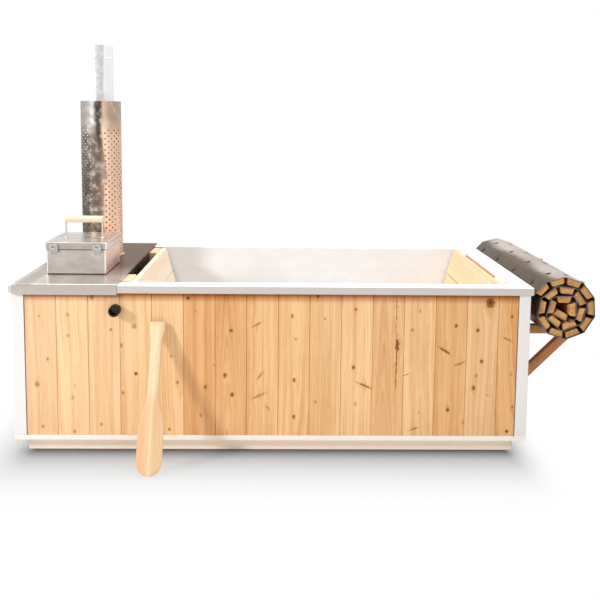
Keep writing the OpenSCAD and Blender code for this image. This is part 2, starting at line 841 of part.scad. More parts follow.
module handle_grip() {
    color(pine) translate([counter_xc, hatch_yc, lid_z + grip_h]) rotate([0, 90, 0]) difference() {
        translate([0, 0, -handle_span / 2 - 6]) {
            cylinder(d1 = grip_d - 6, d2 = grip_d, h = 3);
            translate([0, 0, 3]) cylinder(d = grip_d, h = handle_span + 6);
            translate([0, 0, handle_span + 9]) cylinder(d1 = grip_d, d2 = grip_d - 6, h = 3);
        }
        for (s = [-1, 1]) translate([0, 0, s * handle_span / 2]) rotate([0, 90, 0])
            cylinder(d = 8.2, h = grip_d);
    }
}

// Rails above and below the damper, each with a lip over its edge
module air_guides() {
    z_edge = air_h / 2 + fit_gap;
    rail = 8;
    lip = 5;
    over = air_t + 2 * fit_gap;
    y = air_half + 30;
    color(steel) translate([air_x, hatch_yc, air_z])
    for (s = [0, 1]) mirror([0, 0, s]) {
        box(-over, 0, -y, y, z_edge, z_edge + rail);
        box(-over - 1.5, -over, -y, y, z_edge - lip, z_edge + rail);
    }
}

// Damper plate with the same holes as the box, half a pitch off them
module air_slide() {
    x1 = air_x - fit_gap;
    color(steel) difference() {
        box(x1 - air_t, x1, hatch_yc - air_half, hatch_yc + air_half, air_z - air_h / 2, air_z + air_h / 2);
        for (i = [0 : air_n - 1])
            translate([x1 - air_t - 1, air_hole_y0 + (i - 0.5) * air_pitch, air_z]) rotate([0, 90, 0])
            cylinder(d = air_d, h = air_t + 2);
    }
}

// Turned knob on the damper's plate
module air_knob() {
    color(dark) translate([air_x - fit_gap - air_t, hatch_yc + air_half - 9, air_z]) rotate([0, -90, 0])
        rotate_extrude() polygon([[0, 0], [4, 0], [4, 6], [8, 9], [8, 16], [6, 18], [0, 18]]);
}

// Overflow: a spout through the front wall, with a rubber ring and a nut inside the tank
module overflow_spout() {
    y0 = -board_y - spout_out;
    y1 = -tank_y - sheet_t;
    color(dark) translate([spout_x, 0, spout_z]) rotate([-90, 0, 0]) difference() {
        union() {
            translate([0, 0, y0]) cylinder(d1 = spout_d - 3, d2 = spout_d, h = 1.5);
            translate([0, 0, y0 + 1.5]) cylinder(d = spout_d, h = spout_out - 5.5);
            translate([0, 0, y0 + 1.5]) cylinder(d = spout_d - 2, h = y1 - y0 - 1.5);
            translate([0, 0, y1 - 1]) cylinder(d = spout_tail_d, h = sheet_t + spout_tail + 1);
        }
        translate([0, 0, y0 - 1]) cylinder(d = spout_bore, h = spout_tail - tank_y - y0 + 2);
    }
}

module overflow_gasket() {
    color(dark) translate([spout_x, -tank_y, spout_z]) rotate([-90, 0, 0]) difference() {
        cylinder(d = spout_tail_d + nut_over, h = 3);
        translate([0, 0, -1]) cylinder(d = spout_tail_d, h = 5);
    }
}

module overflow_nut() {
    color(dark) translate([spout_x, -tank_y + 3, spout_z]) rotate([-90, 0, 0]) difference() {
        cylinder(d = spout_tail_d + nut_over, h = 12, $fn = 6);
        translate([0, 0, -1]) cylinder(d = spout_tail_d, h = 14);
    }
}

// Lay children out in a leaning plane: u along Y, v up the slope, w out of the back face
module leaning(x_top, side) {
    translate([x_top, 0, rest_top]) rotate([0, side * lean, 0]) children();
}

// Boards of a leaning panel: back face at x = 0, running down from z = 0, the last one ripped to fit
module lean_boards(side) {
    y = rest_span / 2;
    for (i = [0 : rest_n - 1])
        mirror([side < 0 ? 0 : 1, 0, 0])
        box(0, rest_t, -y, y, max(-(i + 1) * rest_step + rest_gap, -rest_slope), -i * rest_step);
}

module lean_battens(side) {
    for (y = [-rest_span / 2 + 60, -batten_side / 2, rest_span / 2 - 60 - batten_side])
        mirror([side < 0 ? 0 : 1, 0, 0])
        box(-batten_side * 0.75, 0, y, y + batten_side, -rest_slope + 30, -60);
}

module fence_boards() { color(cedar) leaning(fence_x, -1) lean_boards(-1); }
module fence_battens() { color(pine) leaning(fence_x, -1) lean_battens(-1); }
module rest_boards() { color(cedar) leaning(rest_x, 1) lean_boards(1); }
module rest_battens() { color(pine) leaning(rest_x, 1) lean_battens(1); }

// Block with a sloped face against a leaning panel, from its straight face at x = 0 to x = w on top
module sloped_block(w) {
    run = block_h * tan(lean);
    translate([0, block_y0 + block_l, block_top]) rotate([90, 0, 0])
        linear_extrude(block_l) polygon([[0, 0], [0, -block_h], [w + run, -block_h], [w, 0]]);
}

// Horizontal distance from a panel's top edge to its back face at the blocks' top
block_shift = (rest_top - block_top) * tan(lean);

// Blocks that hold the fence off the counter and leave the slot between them
module fence_blocks() {
    color(pine)
    for (s = [0, 1]) mirror([0, s, 0])
        translate([counter_x1, 0, 0]) sloped_block(slot_w + block_shift - 0.2);
}

// Blocks behind the right backrest, with a hook over the rim
module rest_blocks() {
    color(pine)
    for (s = [0, 1]) mirror([0, s, 0]) {
        translate([tank_x, 0, 0]) mirror([1, 0, 0]) sloped_block(tank_x - rest_x + block_shift - 0.2);
        box(rest_x + 4, tank_x, block_y0, block_y0 + block_l, block_top - 1, tub_h + hook_t);
        box(rest_x + 4, tank_x + hook_l, block_y0, block_y0 + block_l, tub_h, tub_h + hook_t);
    }
}

// Cradle of square timber, one bracket towards the front and one towards the back
module per_bracket() {
    for (s = [-1, 1]) translate([0, s * bracket_y - timber / 2, 0]) children();
}

module cradle_legs() {
    color(red_cedar) per_bracket() box(leg_x0, leg_x0 + timber, 0, timber, leg_z, arm_z);
}

module cradle_arms() {
    color(red_cedar) per_bracket() box(leg_x0 + timber, arm_x1, 0, timber, arm_z - timber, arm_z);
}

// 45 degree brace, cut to lie flat on the leg and under the arm
module cradle_braces() {
    reach = arm_x1 - timber - leg_x0 - timber;
    d = timber * sqrt(2);
    x0 = leg_x0 + timber;
    z0 = arm_z - timber;
    color(red_cedar) per_bracket() translate([0, timber, 0]) rotate([90, 0, 0])
        linear_extrude(timber)
        polygon([[x0, z0 - reach], [x0 + reach, z0], [x0 + reach - d, z0], [x0, z0 - reach + d]]);
}

module cradle_stops() {
    color(red_cedar) per_bracket() box(stop_x, arm_x1, 0, timber, arm_z, stop_top);
}

// Carriage bolts through each leg into the wall batten
module cradle_bolts() {
    color(steel) per_bracket()
    for (z = [leg_z + timber * 0.65, arm_z - timber * 2.5])
        translate([leg_x0 + timber, timber / 2, z]) rotate([0, 90, 0]) cylinder(d = 18, h = 5);
}

// Polygonal spiral: flat along each slat, turning in the gaps
module roll_skin() {
    color([0.35, 0.34, 0.33])
    translate([roll_x, cover_l / 2, roll_z]) rotate([90, 0, 0])
        linear_extrude(cover_l) polygon(concat(skin_in, skin_out));
}

module roll_slats() {
    color(cedar)
    translate([roll_x, cover_l / 2 - 6, roll_z]) rotate([90, 0, 0])
    for (i = [0 : slat_n - 1])
        linear_extrude(cover_l - 12)
        polygon([roll_pt(i, -slat_w / 2, 0), roll_pt(i, slat_w / 2, 0),
            roll_pt(i, slat_w_in / 2, -slat_t), roll_pt(i, -slat_w_in / 2, -slat_t)]);
}

// Screw heads through the outer turn's skin, four to a slat
module roll_screws() {
    color(dark)
    for (i = [slat_n - 8 : last_slat], k = [-1.5 : 1.5]) {
        a = phis[i] + roll_turn;
        r = dists[i] + skin_t + run_gap;
        translate([roll_x + r * cos(a), k * cover_l * 0.26, roll_z + r * sin(a)])
            rotate([0, 90 - a, 0]) cylinder(d = 10, h = 1);
    }
}

// Half width of the paddle at height t: round tip, blade, shaft and a flared top
function ease(a, b, t) = a + (b - a) * (1 - cos(180 * max(0, min(1, t)))) / 2;
tip_r = blade_w / 2;
function paddle_half(t) =
    t < tip_r ? sqrt(tip_r * tip_r - (tip_r - t) * (tip_r - t))
    : t < paddle_l - 90 ? ease(tip_r, shaft_w / 2, (t - blade_l * 0.55) / (blade_l * 0.45))
    : ease(shaft_w / 2, shaft_w / 2 + 9, (t - paddle_l + 90) / 70);
paddle_t_steps = concat([for (a = [6 : 12 : 90]) tip_r * (1 - cos(a))], [for (k = [0 : 12])
    blade_l * (0.55 + 0.45 * k / 12)], [for (k = [0 : 6]) paddle_l - 90 + 70 * k / 6], [paddle_l - 6]);

module paddle_outline() {
    polygon(concat([[0, 0]], [for (t = paddle_t_steps) [paddle_half(t), t]],
        [[shaft_w / 2 + 3, paddle_l], [-shaft_w / 2 - 3, paddle_l]],
        [for (i = [len(paddle_t_steps) - 1 : -1 : 0]) [-paddle_half(paddle_t_steps[i]), paddle_t_steps[i]]]));
}

// Stirring paddle leaning on the front
module paddle() {
    color(pine)
    translate([paddle_x, -board_y - fit_gap - paddle_reach, fit_gap])
    rotate([-asin(paddle_reach / paddle_l), paddle_tilt, 0]) rotate([90, 0, 0])
    linear_extrude(paddle_t) paddle_outline();
}

// Drain: tail through the wall and quarter-turn ball valve
module drain_body() {
    end_x = valve_x - valve_l / 2 - nipple_l;
    color("goldenrod") translate([0, drain_y, drain_z]) difference() {
        union() {
            translate([valve_x, 0, 0]) rotate([0, 90, 0]) cylinder(d = drain_d, h = -tank_x - valve_x);
            translate([valve_x - valve_l / 2, 0, 0]) rotate([0, 90, 0])
                cylinder(d = drain_d + 14, h = valve_l);
            translate([end_x, 0, 0]) rotate([0, 90, 0]) cylinder(d = drain_d, h = nipple_l + 1);
            translate([valve_x, 0, 0]) cylinder(d = stem_d, h = drain_d / 2 + neck_h);
        }
        translate([end_x - 1, 0, 0]) rotate([0, 90, 0]) cylinder(d = drain_bore, h = 2 - tank_x - end_x);
        translate([valve_x, 0, 0]) sphere(d = ball_d + 8 * run_gap);
        translate([valve_x, 0, 0]) cylinder(r = stem_r + run_gap, h = 100);
    }
}

module drain_ball() {
    color(steel) translate([valve_x, drain_y, drain_z]) difference() {
        union() {
            sphere(d = ball_d);
            cylinder(r = stem_r, h = drain_d / 2 + neck_h + 12);
        }
        translate([0, -50, 0]) rotate([-90, 0, 0]) cylinder(d = drain_bore - 2, h = 100);
    }
}

// Lever across the valve when it is shut
module drain_lever() {
    z0 = drain_d / 2 + neck_h + fit_gap;
    color("firebrick") translate([valve_x, drain_y, drain_z + z0]) difference() {
        union() {
            cylinder(d = stem_d, h = 6);
            box(-lever_w / 2, lever_w / 2, 0, lever_l, 0, 4);
        }
        translate([0, 0, -1]) cylinder(r = stem_r, h = 10);
    }
}

module drain_strainer() {
    color(steel) translate([-tank_x, drain_y, drain_z]) rotate([0, 90, 0]) difference() {
        cylinder(d = drain_d + 20, h = 4);
        for (a = [0 : 60 : 300]) rotate(a) translate([8, 0, -1]) cylinder(d = 5, h = 6);
    }
}

plinth();
bearers();
base_panel();
bottom_rail();
floor_insulation();
wall_insulation();
battens();
corner_posts();
front_boards();
back_boards();
left_boards();
right_boards();
tank();
tank_floor();
rim();
counter();
counter_seal();
firebox();
fire_grate();
flue_pipe();
guard_spacers();
heat_guard();
flue_flange();
hatch_seal();
hatch_box();
lid_seal();
hinge_leaf();
hinge_pin();
latch_bases();
hatch_lid();
lid_keepers();
handle_posts();
handle_grip();
clasp_left();
clasp_right();
air_knob();
air_guides();
overflow_spout();
overflow_gasket();
overflow_nut();
air_slide();
fence_boards();
fence_battens();
fence_blocks();
rest_boards();
rest_battens();
rest_blocks();
cradle_legs();
cradle_arms();
cradle_braces();
cradle_stops();
cradle_bolts();
roll_skin();
roll_slats();
roll_screws();
paddle();
drain_body();
drain_ball();
drain_lever();
drain_strainer();
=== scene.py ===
import math
import random

import bpy
import numpy as np
from mathutils import Matrix, Vector


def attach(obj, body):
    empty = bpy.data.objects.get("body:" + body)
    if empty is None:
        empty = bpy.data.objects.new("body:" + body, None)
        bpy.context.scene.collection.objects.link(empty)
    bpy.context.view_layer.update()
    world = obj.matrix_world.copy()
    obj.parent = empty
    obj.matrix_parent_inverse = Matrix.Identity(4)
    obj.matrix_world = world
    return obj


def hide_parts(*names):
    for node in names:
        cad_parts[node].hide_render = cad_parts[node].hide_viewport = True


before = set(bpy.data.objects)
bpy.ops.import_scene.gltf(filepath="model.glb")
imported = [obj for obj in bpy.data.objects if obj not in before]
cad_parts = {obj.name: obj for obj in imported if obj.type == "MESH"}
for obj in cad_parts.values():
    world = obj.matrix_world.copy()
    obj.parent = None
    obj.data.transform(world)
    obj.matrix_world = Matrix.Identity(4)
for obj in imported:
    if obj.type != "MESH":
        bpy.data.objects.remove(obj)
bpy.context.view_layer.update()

scene = bpy.context.scene
scene.view_settings.view_transform = "Standard"
MM = 0.001

# Sizes repeated from the part's source, in millimetres
TUB_L, TUB_W, TUB_H = 2140.0, 1220.0, 705.0
RIM_H, SHEET = 31.0, 3.0
TANK_X, TANK_Y, TANK_R, FLOOR_Z, WATER_Z = 980.0, 520.0, 30.0, 110.0, 585.0
POST_X, POST_Y, POST_W = 1060.0, 600.0, 48.0
BOARD_X, BOARD_Y, BOARD_W, BOARD_GAP, BOARD_T = 1056.5, 596.5, 129.5, 0.4, 16.0
FIELD_X, FIELD_Y, FIELD_Z0, FIELD_Z1 = 1011.5, 551.5, 76.0, 700.0
PLINTH_X, PLINTH_Y, PLINTH_H = 1015.0, 555.0, 55.0
COUNTER_X0, COUNTER_X1, COUNTER_Y, COUNTER_Z, APRON = -1055.0, -633.0, 612.5, 711.0, 44.0
FLUE_X, FLUE_Y, FLUE_R, FLUE_Z0, FLUE_Z1 = -844.0, 215.0, 61.0, 560.0, 1720.0
GUARD_R, GUARD_Z0, GUARD_Z1 = 96.0, 714.0, 1456.0
HATCH_X, HATCH_Y, BOX_HX, BOX_HY, BOX_Z0, BOX_Z1 = -844.0, -207.0, 127.0, 174.0, 714.0, 834.0
LID_HX, LID_HY, LID_Y, LID_Z0, LID_Z1 = 132.0, 181.0, -205.0, 821.3, 848.3
AIR_R, AIR_PITCH, AIR_Z0, AIR_Z1 = 11.0, 48.0, 744.0, 780.0
LEAN, REST_T, REST_STEP, REST_L = math.radians(16), 26.0, 133.5, 1010.0
TIMBER, BRACKET_Y, LEG_Z, LEG_X0, ARM_X1, ARM_Z = 38.0, 325.0, 180.0, 1056.5, 1363.5, 492.0

# Camera at the photograph's place and angle: a focal length of 921.4 pixels in a frame of 600
SENSOR_W = 36.0
CAM_POS = (0.0311, -4.2969, 1.393)
CAM_FOCAL = 921.4 / 600.0 * SENSOR_W
CAM_SHIFT = -0.12
CAM_PITCH, CAM_YAW, CAM_ROLL = (math.radians(a) for a in (6.906, 1.194, 0.584))


def make_camera():
    cam = bpy.data.objects.new("camera", bpy.data.cameras.new("camera"))
    scene.collection.objects.link(cam)
    cam.data.lens = CAM_FOCAL
    cam.data.sensor_width = SENSOR_W
    cam.data.shift_y = CAM_SHIFT
    cam.data.clip_end = 200.0
    flat = math.cos(CAM_PITCH)
    ahead = Vector((math.sin(CAM_YAW) * flat, math.cos(CAM_YAW) * flat, -math.sin(CAM_PITCH)))
    turn = ahead.to_track_quat("-Z", "Y").to_matrix() @ Matrix.Rotation(CAM_ROLL, 3, "Z")
    cam.matrix_world = Matrix.Translation(CAM_POS) @ turn.to_4x4()
    scene.camera = cam


def area_lamp(name, pos, target, size, power, colour=(1, 1, 1)):
    lamp = bpy.data.objects.new(name, bpy.data.lights.new(name, "AREA"))
    scene.collection.objects.link(lamp)
    lamp.data.shape = "RECTANGLE"
    lamp.data.size, lamp.data.size_y = size
    lamp.data.energy = power
    lamp.data.color = colour
    lamp.location = pos
    lamp.rotation_euler = (Vector(target) - Vector(pos)).to_track_quat("-Z", "Y").to_euler()


make_camera()
area_lamp("key", (-5.6, -4.3, 3.5), (-0.3, -0.5, 0.4), (0.8, 0.8), 274, (1.0, 0.97, 0.93))
area_lamp("front_fill", (2.0, -6.0, 1.3), (0.2, 0, 0.5), (4.0, 2.0), 42, (1.0, 0.93, 0.84))
area_lamp("top_fill", (0.0, 0.6, 5.0), (0.0, 0.2, 0.3), (5.0, 3.0), 250)


# Shader helpers and materials
class Value:
    """An output of a material's node; a sum of values makes Math nodes."""

    def __init__(self, shader, socket):
        self.shader, self.socket = shader, socket

    def __add__(self, other):
        return self.shader.math("ADD", self, other)

    def __sub__(self, other):
        return self.shader.math("SUBTRACT", self, other)

    def __rsub__(self, other):
        return self.shader.math("SUBTRACT", other, self)

    def __mul__(self, other):
        return self.shader.math("MULTIPLY", self, other)

    def __pow__(self, other):
        return self.shader.math("POWER", self, other)

    def __abs__(self):
        return self.shader.math("ABSOLUTE", self)

    def clamped(self):
        self.socket.node.use_clamp = True
        return self


class Shader:
    """A material's node tree with short helpers."""

    def __init__(self, name, colour, rough, metal=0.0, **sockets):
        self.mat = bpy.data.materials.new(name)
        self.mat.use_nodes = True
        self.mat.diffuse_color = (*colour, 1.0)
        self.tree = self.mat.node_tree
        self.bsdf = self.tree.nodes["Principled BSDF"]
        self.put("Base Color", colour)
        self.put("Roughness", rough)
        self.put("Metallic", metal)
        for key, value in sockets.items():
            self.put(key.replace("_", " "), value)

    def put(self, key, value, node=None):
        """Links a value to an input, or sets a constant on it."""
        socket = (node or self.bsdf).inputs[key]
        if isinstance(value, Value):
            self.tree.links.new(value.socket, socket)
        elif socket.type == "RGBA":
            socket.default_value = (*value, 1.0)
        else:
            socket.default_value = value

    def node(self, kind, inputs=(), output=0, **settings):
        made = self.tree.nodes.new("ShaderNode" + kind)
        for key, value in settings.items():
            setattr(made, key, value)
        for key, value in dict(inputs).items():
            self.put(key, value, made)
        return Value(self, made.outputs[output])

    def math(self, op, a, b=0.0):
        return self.node("Math", {0: a, 1: b}, operation=op)

    def mix(self, share, a, b, blend="MIX"):
        """Colour a, with b taking its share."""
        return self.node("Mix", {0: share, 6: a, 7: b}, 2, data_type="RGBA", blend_type=blend)

    def remap(self, value, low, high, to_low=0.0, to_high=1.0, smooth=False):
        """Takes the range low to high to another range and clamps it."""
        ins = {0: value, 1: low, 2: high, 3: to_low, 4: to_high}
        return self.node("MapRange", ins, interpolation_type="SMOOTHSTEP" if smooth else "LINEAR")

    def attr(self, name, output="Fac"):
        return self.node("Attribute", (), output, attribute_name=name)

    def place(self):
        return self.node("TexCoord", (), "Object")

    def noise(self, vector, scale, detail=3.0, rough=0.5, distort=0.0):
        """Noise; a scale of three numbers stretches it along X, Y and Z."""
        if hasattr(scale, "__len__"):
            vector, scale = self.node("Mapping", {"Vector": vector, "Scale": scale}), 1.0
        ins = {"Vector": vector, "Scale": scale, "Detail": detail, "Roughness": rough, "Distortion": distort}
        return self.node("TexNoise", ins)

    def xyz(self, vector):
        made = self.node("SeparateXYZ", {0: vector})
        return [Value(self, out) for out in made.socket.node.outputs]

    def combine(self, x, y, z):
        return self.node("CombineXYZ", {0: x, 1: y, 2: z})

    def bump(self, height, strength, distance):
        self.put("Normal", self.node("Bump", {"Height": height, "Strength": strength, "Distance": distance}))


KNOT = (0.25, 0.10, 0.028)


def knot_colour(sh, at, colour):
    """Lays halo, heart and dark rim of the knots over a wood colour; also returns where the knots are."""
    kind = sh.attr("kind")
    spot = sh.attr("knot") + sh.remap(sh.noise(at, (170, 170, 60)), 0.3, 0.7, -0.45, 0.45)
    halo = sh.remap(spot, 0.8, 2.4, 0.75, 0.0, True) * sh.remap(kind, 0.0, 1.0, 0.45, 1.0)
    colour = sh.mix(halo, colour, (0.66, 0.31, 0.085))
    inside = sh.remap(spot, 0.75, 1.1, 1.0, 0.0, True)
    turns = sh.math("SINE", spot * 17.0)
    heart = sh.mix(sh.remap(turns, -1, 1, 0.0, 0.7), KNOT, (0.42, 0.18, 0.055))
    heart = sh.mix(sh.remap(spot, 0.15, 0.6, 0.85, 0.0, True), heart, (0.10, 0.034, 0.010))
    rim = sh.remap(spot, 0.7, 0.95, 0.0, 1.0, True) * sh.remap(spot, 0.95, 1.25, 1.0, 0.0, True)
    colour = sh.mix(inside * sh.remap(kind, 0.15, 0.7, 0.15, 1.0), colour, heart)
    colour = sh.mix(rim * sh.remap(kind, 0.0, 1.0, 0.55, 0.75), colour, (0.22, 0.085, 0.022))
    return colour, inside


def wood(name, pale, dark, ring=5.5, contrast=0.55, stain=0.0, streak=0.4, rim_shadow_height=None):
    """Wood from the mesh's "wood" (metres: across, through, along), "tone", "knot" and "kind".

    ring is the width of a year ring in millimetres; the last argument is the height of the rim, below which a
    painted shadow of the rim darkens the boards.
    """
    sh = Shader(name, pale, 0.55, Specular_IOR_Level=0.12)
    at = sh.attr("wood", "Vector")
    x, y, z = sh.xyz(at)
    across = x + (sh.noise(at, (3.3, 3.3, 2.42), 2.0) - 0.5) * 0.034
    across = across + (sh.noise(at, (18, 18, 1.6)) - 0.5) * 0.007
    dist = sh.math("SQRT", across * across + y * y)
    rings = dist * (1000.0 / ring)
    phase = sh.math("FRACT", rings)
    strong = sh.noise(sh.combine(sh.math("FLOOR", rings), 0.37, 0.11), 1.7, 1.0)
    late = phase ** 2.2 * sh.remap(phase, 0.92, 1.0, 1.0, 0.1) * sh.remap(strong, 0.3, 0.7, 0.35, 1.15)
    fibre = sh.noise(at, (520, 520, 9), 3.0, 0.6)
    pores = sh.noise(at, (1500, 1500, 30), 2.0)
    cloud = sh.noise(at, (14, 14, 2.4), 3.0, 0.55)
    bands = sh.noise(sh.combine(dist * 60.0, z * 0.5, 0.0), 1.0, 4.0, 0.62)
    grain = late * contrast + sh.remap(fibre, 0.35, 0.75, -0.14, 0.30)
    grain = grain + sh.remap(cloud, 0.3, 0.7, -0.12, 0.16)
    grain = (grain + sh.remap(bands, 0.3, 0.7, -streak * 0.5, streak)).clamped()
    colour = sh.mix(grain, pale, dark)
    value, warm, pink = sh.xyz(sh.attr("tone", "Vector"))
    colour = sh.mix(warm, colour, (0.80, 0.42, 0.16), "MULTIPLY")
    colour = sh.mix(pink, colour, (0.93, 0.66, 0.50))
    colour = sh.mix(1.0, colour, sh.combine(value, value, value), "MULTIPLY")
    colour, inside = knot_colour(sh, at, colour)
    if rim_shadow_height:
        # Painted shadow: the boards darken in a strip just below the rim, as if shaded by its overhang.
        shade = sh.remap(sh.xyz(sh.place())[2], rim_shadow_height - 0.034, rim_shadow_height - 0.004)
        colour = sh.mix(shade, colour, (0.50, 0.28, 0.13), "MULTIPLY")
    if stain:
        smudge = tuple((a + b) / 2 for a, b in zip(dark, KNOT))
        colour = sh.mix(sh.remap(sh.noise(at, (9, 9, 5), 4.0, 0.6), 0.45, 0.75, 0.0, stain), colour, smudge)
    sh.put("Base Color", colour)
    sh.put("Roughness", grain * 0.12 + 0.5)
    sh.bump(late * -0.5 + pores * 0.8 + fibre * 0.7 + inside * 0.5, 0.35, 0.0006)
    return sh.mat


def plain_wood(name, pale, dark, axis):
    """Wood for CAD nodes, whose grain follows one axis of the object's own space."""
    sh = Shader(name, pale, 0.55)
    turn = {"x": (0, math.pi / 2, 0), "y": (math.pi / 2, 0, 0), "z": (0, 0, 0)}[axis]
    at = sh.node("Mapping", {"Vector": sh.place(), "Location": (0.013, 0.021, 0), "Rotation": turn})
    x, y, _ = sh.xyz(at)
    sway = (sh.noise(at, (6, 6, 1.4)) - 0.5) * 0.05
    late = sh.math("FRACT", (x + y * 0.4 + sway) * 200.0) ** 2.4
    fibre = sh.noise(at, (520, 520, 9), 3.0, 0.6)
    share = (late * 0.45 + sh.remap(fibre, 0.35, 0.75, -0.1, 0.3)).clamped()
    sh.put("Base Color", sh.mix(share, pale, dark))
    sh.bump(fibre + late * -0.4, 0.35, 0.0006)
    return sh.mat


def powder_coat(name, colour, rough=0.38):
    """Powder coat with a slight orange peel and worn patches."""
    sh = Shader(name, colour, rough)
    at = sh.place()
    peel = sh.noise(at, 260.0, 2.0)
    haze = sh.noise(at, 3.0, 4.0, 0.6)
    dust = sh.noise(at, 45.0, 5.0, 0.7)
    shade = (sh.remap(haze, 0.45, 0.8) * sh.remap(dust, 0.4, 0.75)).clamped()
    worn = tuple(c * share for c, share in zip(colour, (0.95, 0.93125, 0.9125)))
    sh.put("Base Color", sh.mix(shade * 0.5, colour, worn))
    sh.put("Roughness", sh.remap(dust, 0.3, 0.7, rough - 0.05, rough + 0.08))
    sh.bump(peel, 0.25, 0.0002)
    return sh.mat


def brushed(name, colour, along, rough=0.3, streak=0.16, scratch=0.3):
    """Brushed metal; along is the axis of the brushing (0 X, 1 Y, 2 Z)."""
    sh = Shader(name, colour, rough, 1.0)
    at = sh.place()
    fine, wide = [420.0] * 3, [70.0] * 3
    fine[along], wide[along] = 5.0, 1.6
    lines = sh.noise(at, fine, 4.0, 0.65)
    bands = sh.noise(at, wide, 3.0, 0.6)
    smear = sh.noise(at, 7.0, 5.0, 0.6)
    share = (sh.remap(lines, 0.3, 0.7, 0.0, streak * 2) + sh.remap(smear, 0.45, 0.75, 0.0, 0.22)).clamped()
    sh.put("Base Color", sh.mix(share, colour, tuple(c * 0.72 for c in colour)))
    polish = sh.remap(bands, 0.3, 0.7, rough - 0.03, rough + 0.05) + sh.remap(smear, 0.5, 0.8, 0.0, 0.08)
    sh.put("Roughness", polish)
    sh.bump(lines + bands * 0.5, scratch, 0.00012)
    return sh.mat


def matt(name, colour, rough, grit=400.0, strength=0.35, gloss=0.5):
    """Rubber, plastic, foam, paint or iron with a fine grit and paler patches."""
    sh = Shader(name, colour, rough, Specular_IOR_Level=gloss)
    at = sh.place()
    grain = sh.noise(at, grit, 3.0, 0.6)
    patch = sh.noise(at, 14.0, 4.0, 0.6)
    faded = tuple(min(1.0, c * 1.5 + 0.01) for c in colour)
    sh.put("Base Color", sh.mix(sh.remap(patch, 0.4, 0.75, 0.0, 0.6), colour, faded))
    sh.put("Roughness", sh.remap(grain, 0.3, 0.7, rough - 0.06, rough + 0.08))
    sh.bump(grain, strength, 0.0004)
    return sh.mat


def sheet_material():
    """The cover's coated fabric with painted light: painted shade on its lower left facets, a painted
    highlight above, with soft creases.
    """
    sheen = {"Specular_IOR_Level": 0.10, "Specular_Tint": (1.0, 0.84, 0.74)}
    sh = Shader("cover_sheet", (0.105, 0.080, 0.066), 0.3, **sheen)
    at = sh.place()
    patch = sh.noise(at, (5, 3, 5), 4.0, 0.6)
    weave = sh.noise(at, 900.0, 2.0)
    crease = sh.noise(at, (14, 7, 14), 3.0, 0.55, 0.4)
    share = sh.remap(patch, 0.35, 0.7)
    # Painted light: low is painted shade on the lower left facets and high a painted highlight on the upper
    # facets; lean is how far a point lies left of the roll's middle.
    low = sh.mix(share, (0.048, 0.030, 0.016), (0.085, 0.053, 0.029))
    high = sh.mix(share, (0.42, 0.345, 0.305), (0.31, 0.25, 0.215))
    lean = ROLL_X * MM - sh.xyz(at)[0] + (patch - 0.5) * 0.05
    sh.put("Base Color", sh.mix(sh.remap(lean, 0.025, 0.070, smooth=True), high, low))
    sh.put("Roughness", sh.remap(patch, 0.3, 0.7, 0.26, 0.40))
    sh.bump(crease * 14.0 + weave, 0.6, 0.0006)
    return sh.mat


def guard_material():
    """Steel with painted reflections and shade: grey on the left, a dark band of painted shade in front, a
    copper painted reflection on the right, paler near the top.
    """
    sh = Shader("guard_steel", (0.6, 0.5, 0.4), 0.24, 1.0)
    at = sh.place()
    x, _, z = sh.xyz(at)
    across = sh.remap(x, -0.94, -0.748)
    drift = sh.noise(at, (6, 6, 2.2), 4.0, 0.6)
    mottle = sh.noise(at, 24.0, 5.0, 0.65)
    side = across + (drift - 0.5) * 0.55
    # Painted light: the grey left, the dark band at the seam in front and the copper right stand in for
    # reflections and shade round the guard; the far left edge darkens to brown as painted shade.
    grey = sh.mix(sh.remap(z, 1.28, 1.36), (0.23, 0.175, 0.135), (0.50, 0.47, 0.45))
    right = sh.mix(sh.remap(z, 1.28, 1.37), (1.0, 0.64, 0.43), (0.52, 0.385, 0.28))
    seam = sh.mix(sh.remap(z, 1.10, 1.30), (0.30, 0.22, 0.155), (0.10, 0.08, 0.062))
    painted_reflection_colour = sh.mix(sh.remap(side, 0.44, 0.52, smooth=True), grey, seam)
    painted_reflection_colour = sh.mix(sh.remap(side, 0.59, 0.69, smooth=True), painted_reflection_colour, right)
    painted_reflection_colour = sh.mix(sh.remap(across, 0.0, 0.13, 0.9, 0.0), painted_reflection_colour, (0.30, 0.19, 0.11))
    painted_reflection_colour = sh.mix(sh.remap(mottle, 0.50, 0.66, 0.0, 0.65), painted_reflection_colour, (0.70, 0.64, 0.59))
    sh.put("Base Color", painted_reflection_colour)
    sh.put("Roughness", sh.remap(mottle, 0.3, 0.7, 0.20, 0.40) + sh.remap(side, 0.5, 0.7, 0.0, 0.12))
    sh.bump(sh.noise(at, (300, 300, 8)), 0.15, 0.0001)
    return sh.mat


def flue_material():
    """Pale bright pipe with a cooler grey band down its front as a painted reflection, and painted shade on
    its back half.
    """
    sh = Shader("flue_steel", (0.95, 0.955, 0.96), 0.45, 0.3)
    at = sh.place()
    x, y, _ = sh.xyz(at)
    mottle = sh.noise(at, 60.0, 4.0, 0.6)
    off = x + 0.839 + (sh.noise(at, (30, 30, 3), 4.0, 0.6) - 0.5) * 0.02
    # Painted reflection: a grey band down the front of the pipe.
    band = sh.remap(abs(off), 0.017, 0.030, 1.0, 0.0, smooth=True) * sh.remap(y, 0.17, 0.20, 1.0, 0.0)
    # Painted shade: the back half of the pipe is darker.
    far = sh.mix(sh.remap(y, 0.20, 0.24), (0.98, 0.985, 0.99), (0.60, 0.61, 0.62))
    sh.put("Base Color", sh.mix(band * sh.remap(mottle, 0.3, 0.7, 0.55, 1.0), far, (0.46, 0.49, 0.51)))
    sh.put("Roughness", sh.remap(mottle, 0.3, 0.7, 0.40, 0.55))
    sh.bump(sh.noise(at, (260, 260, 6)), 0.12, 0.0001)
    return sh.mat


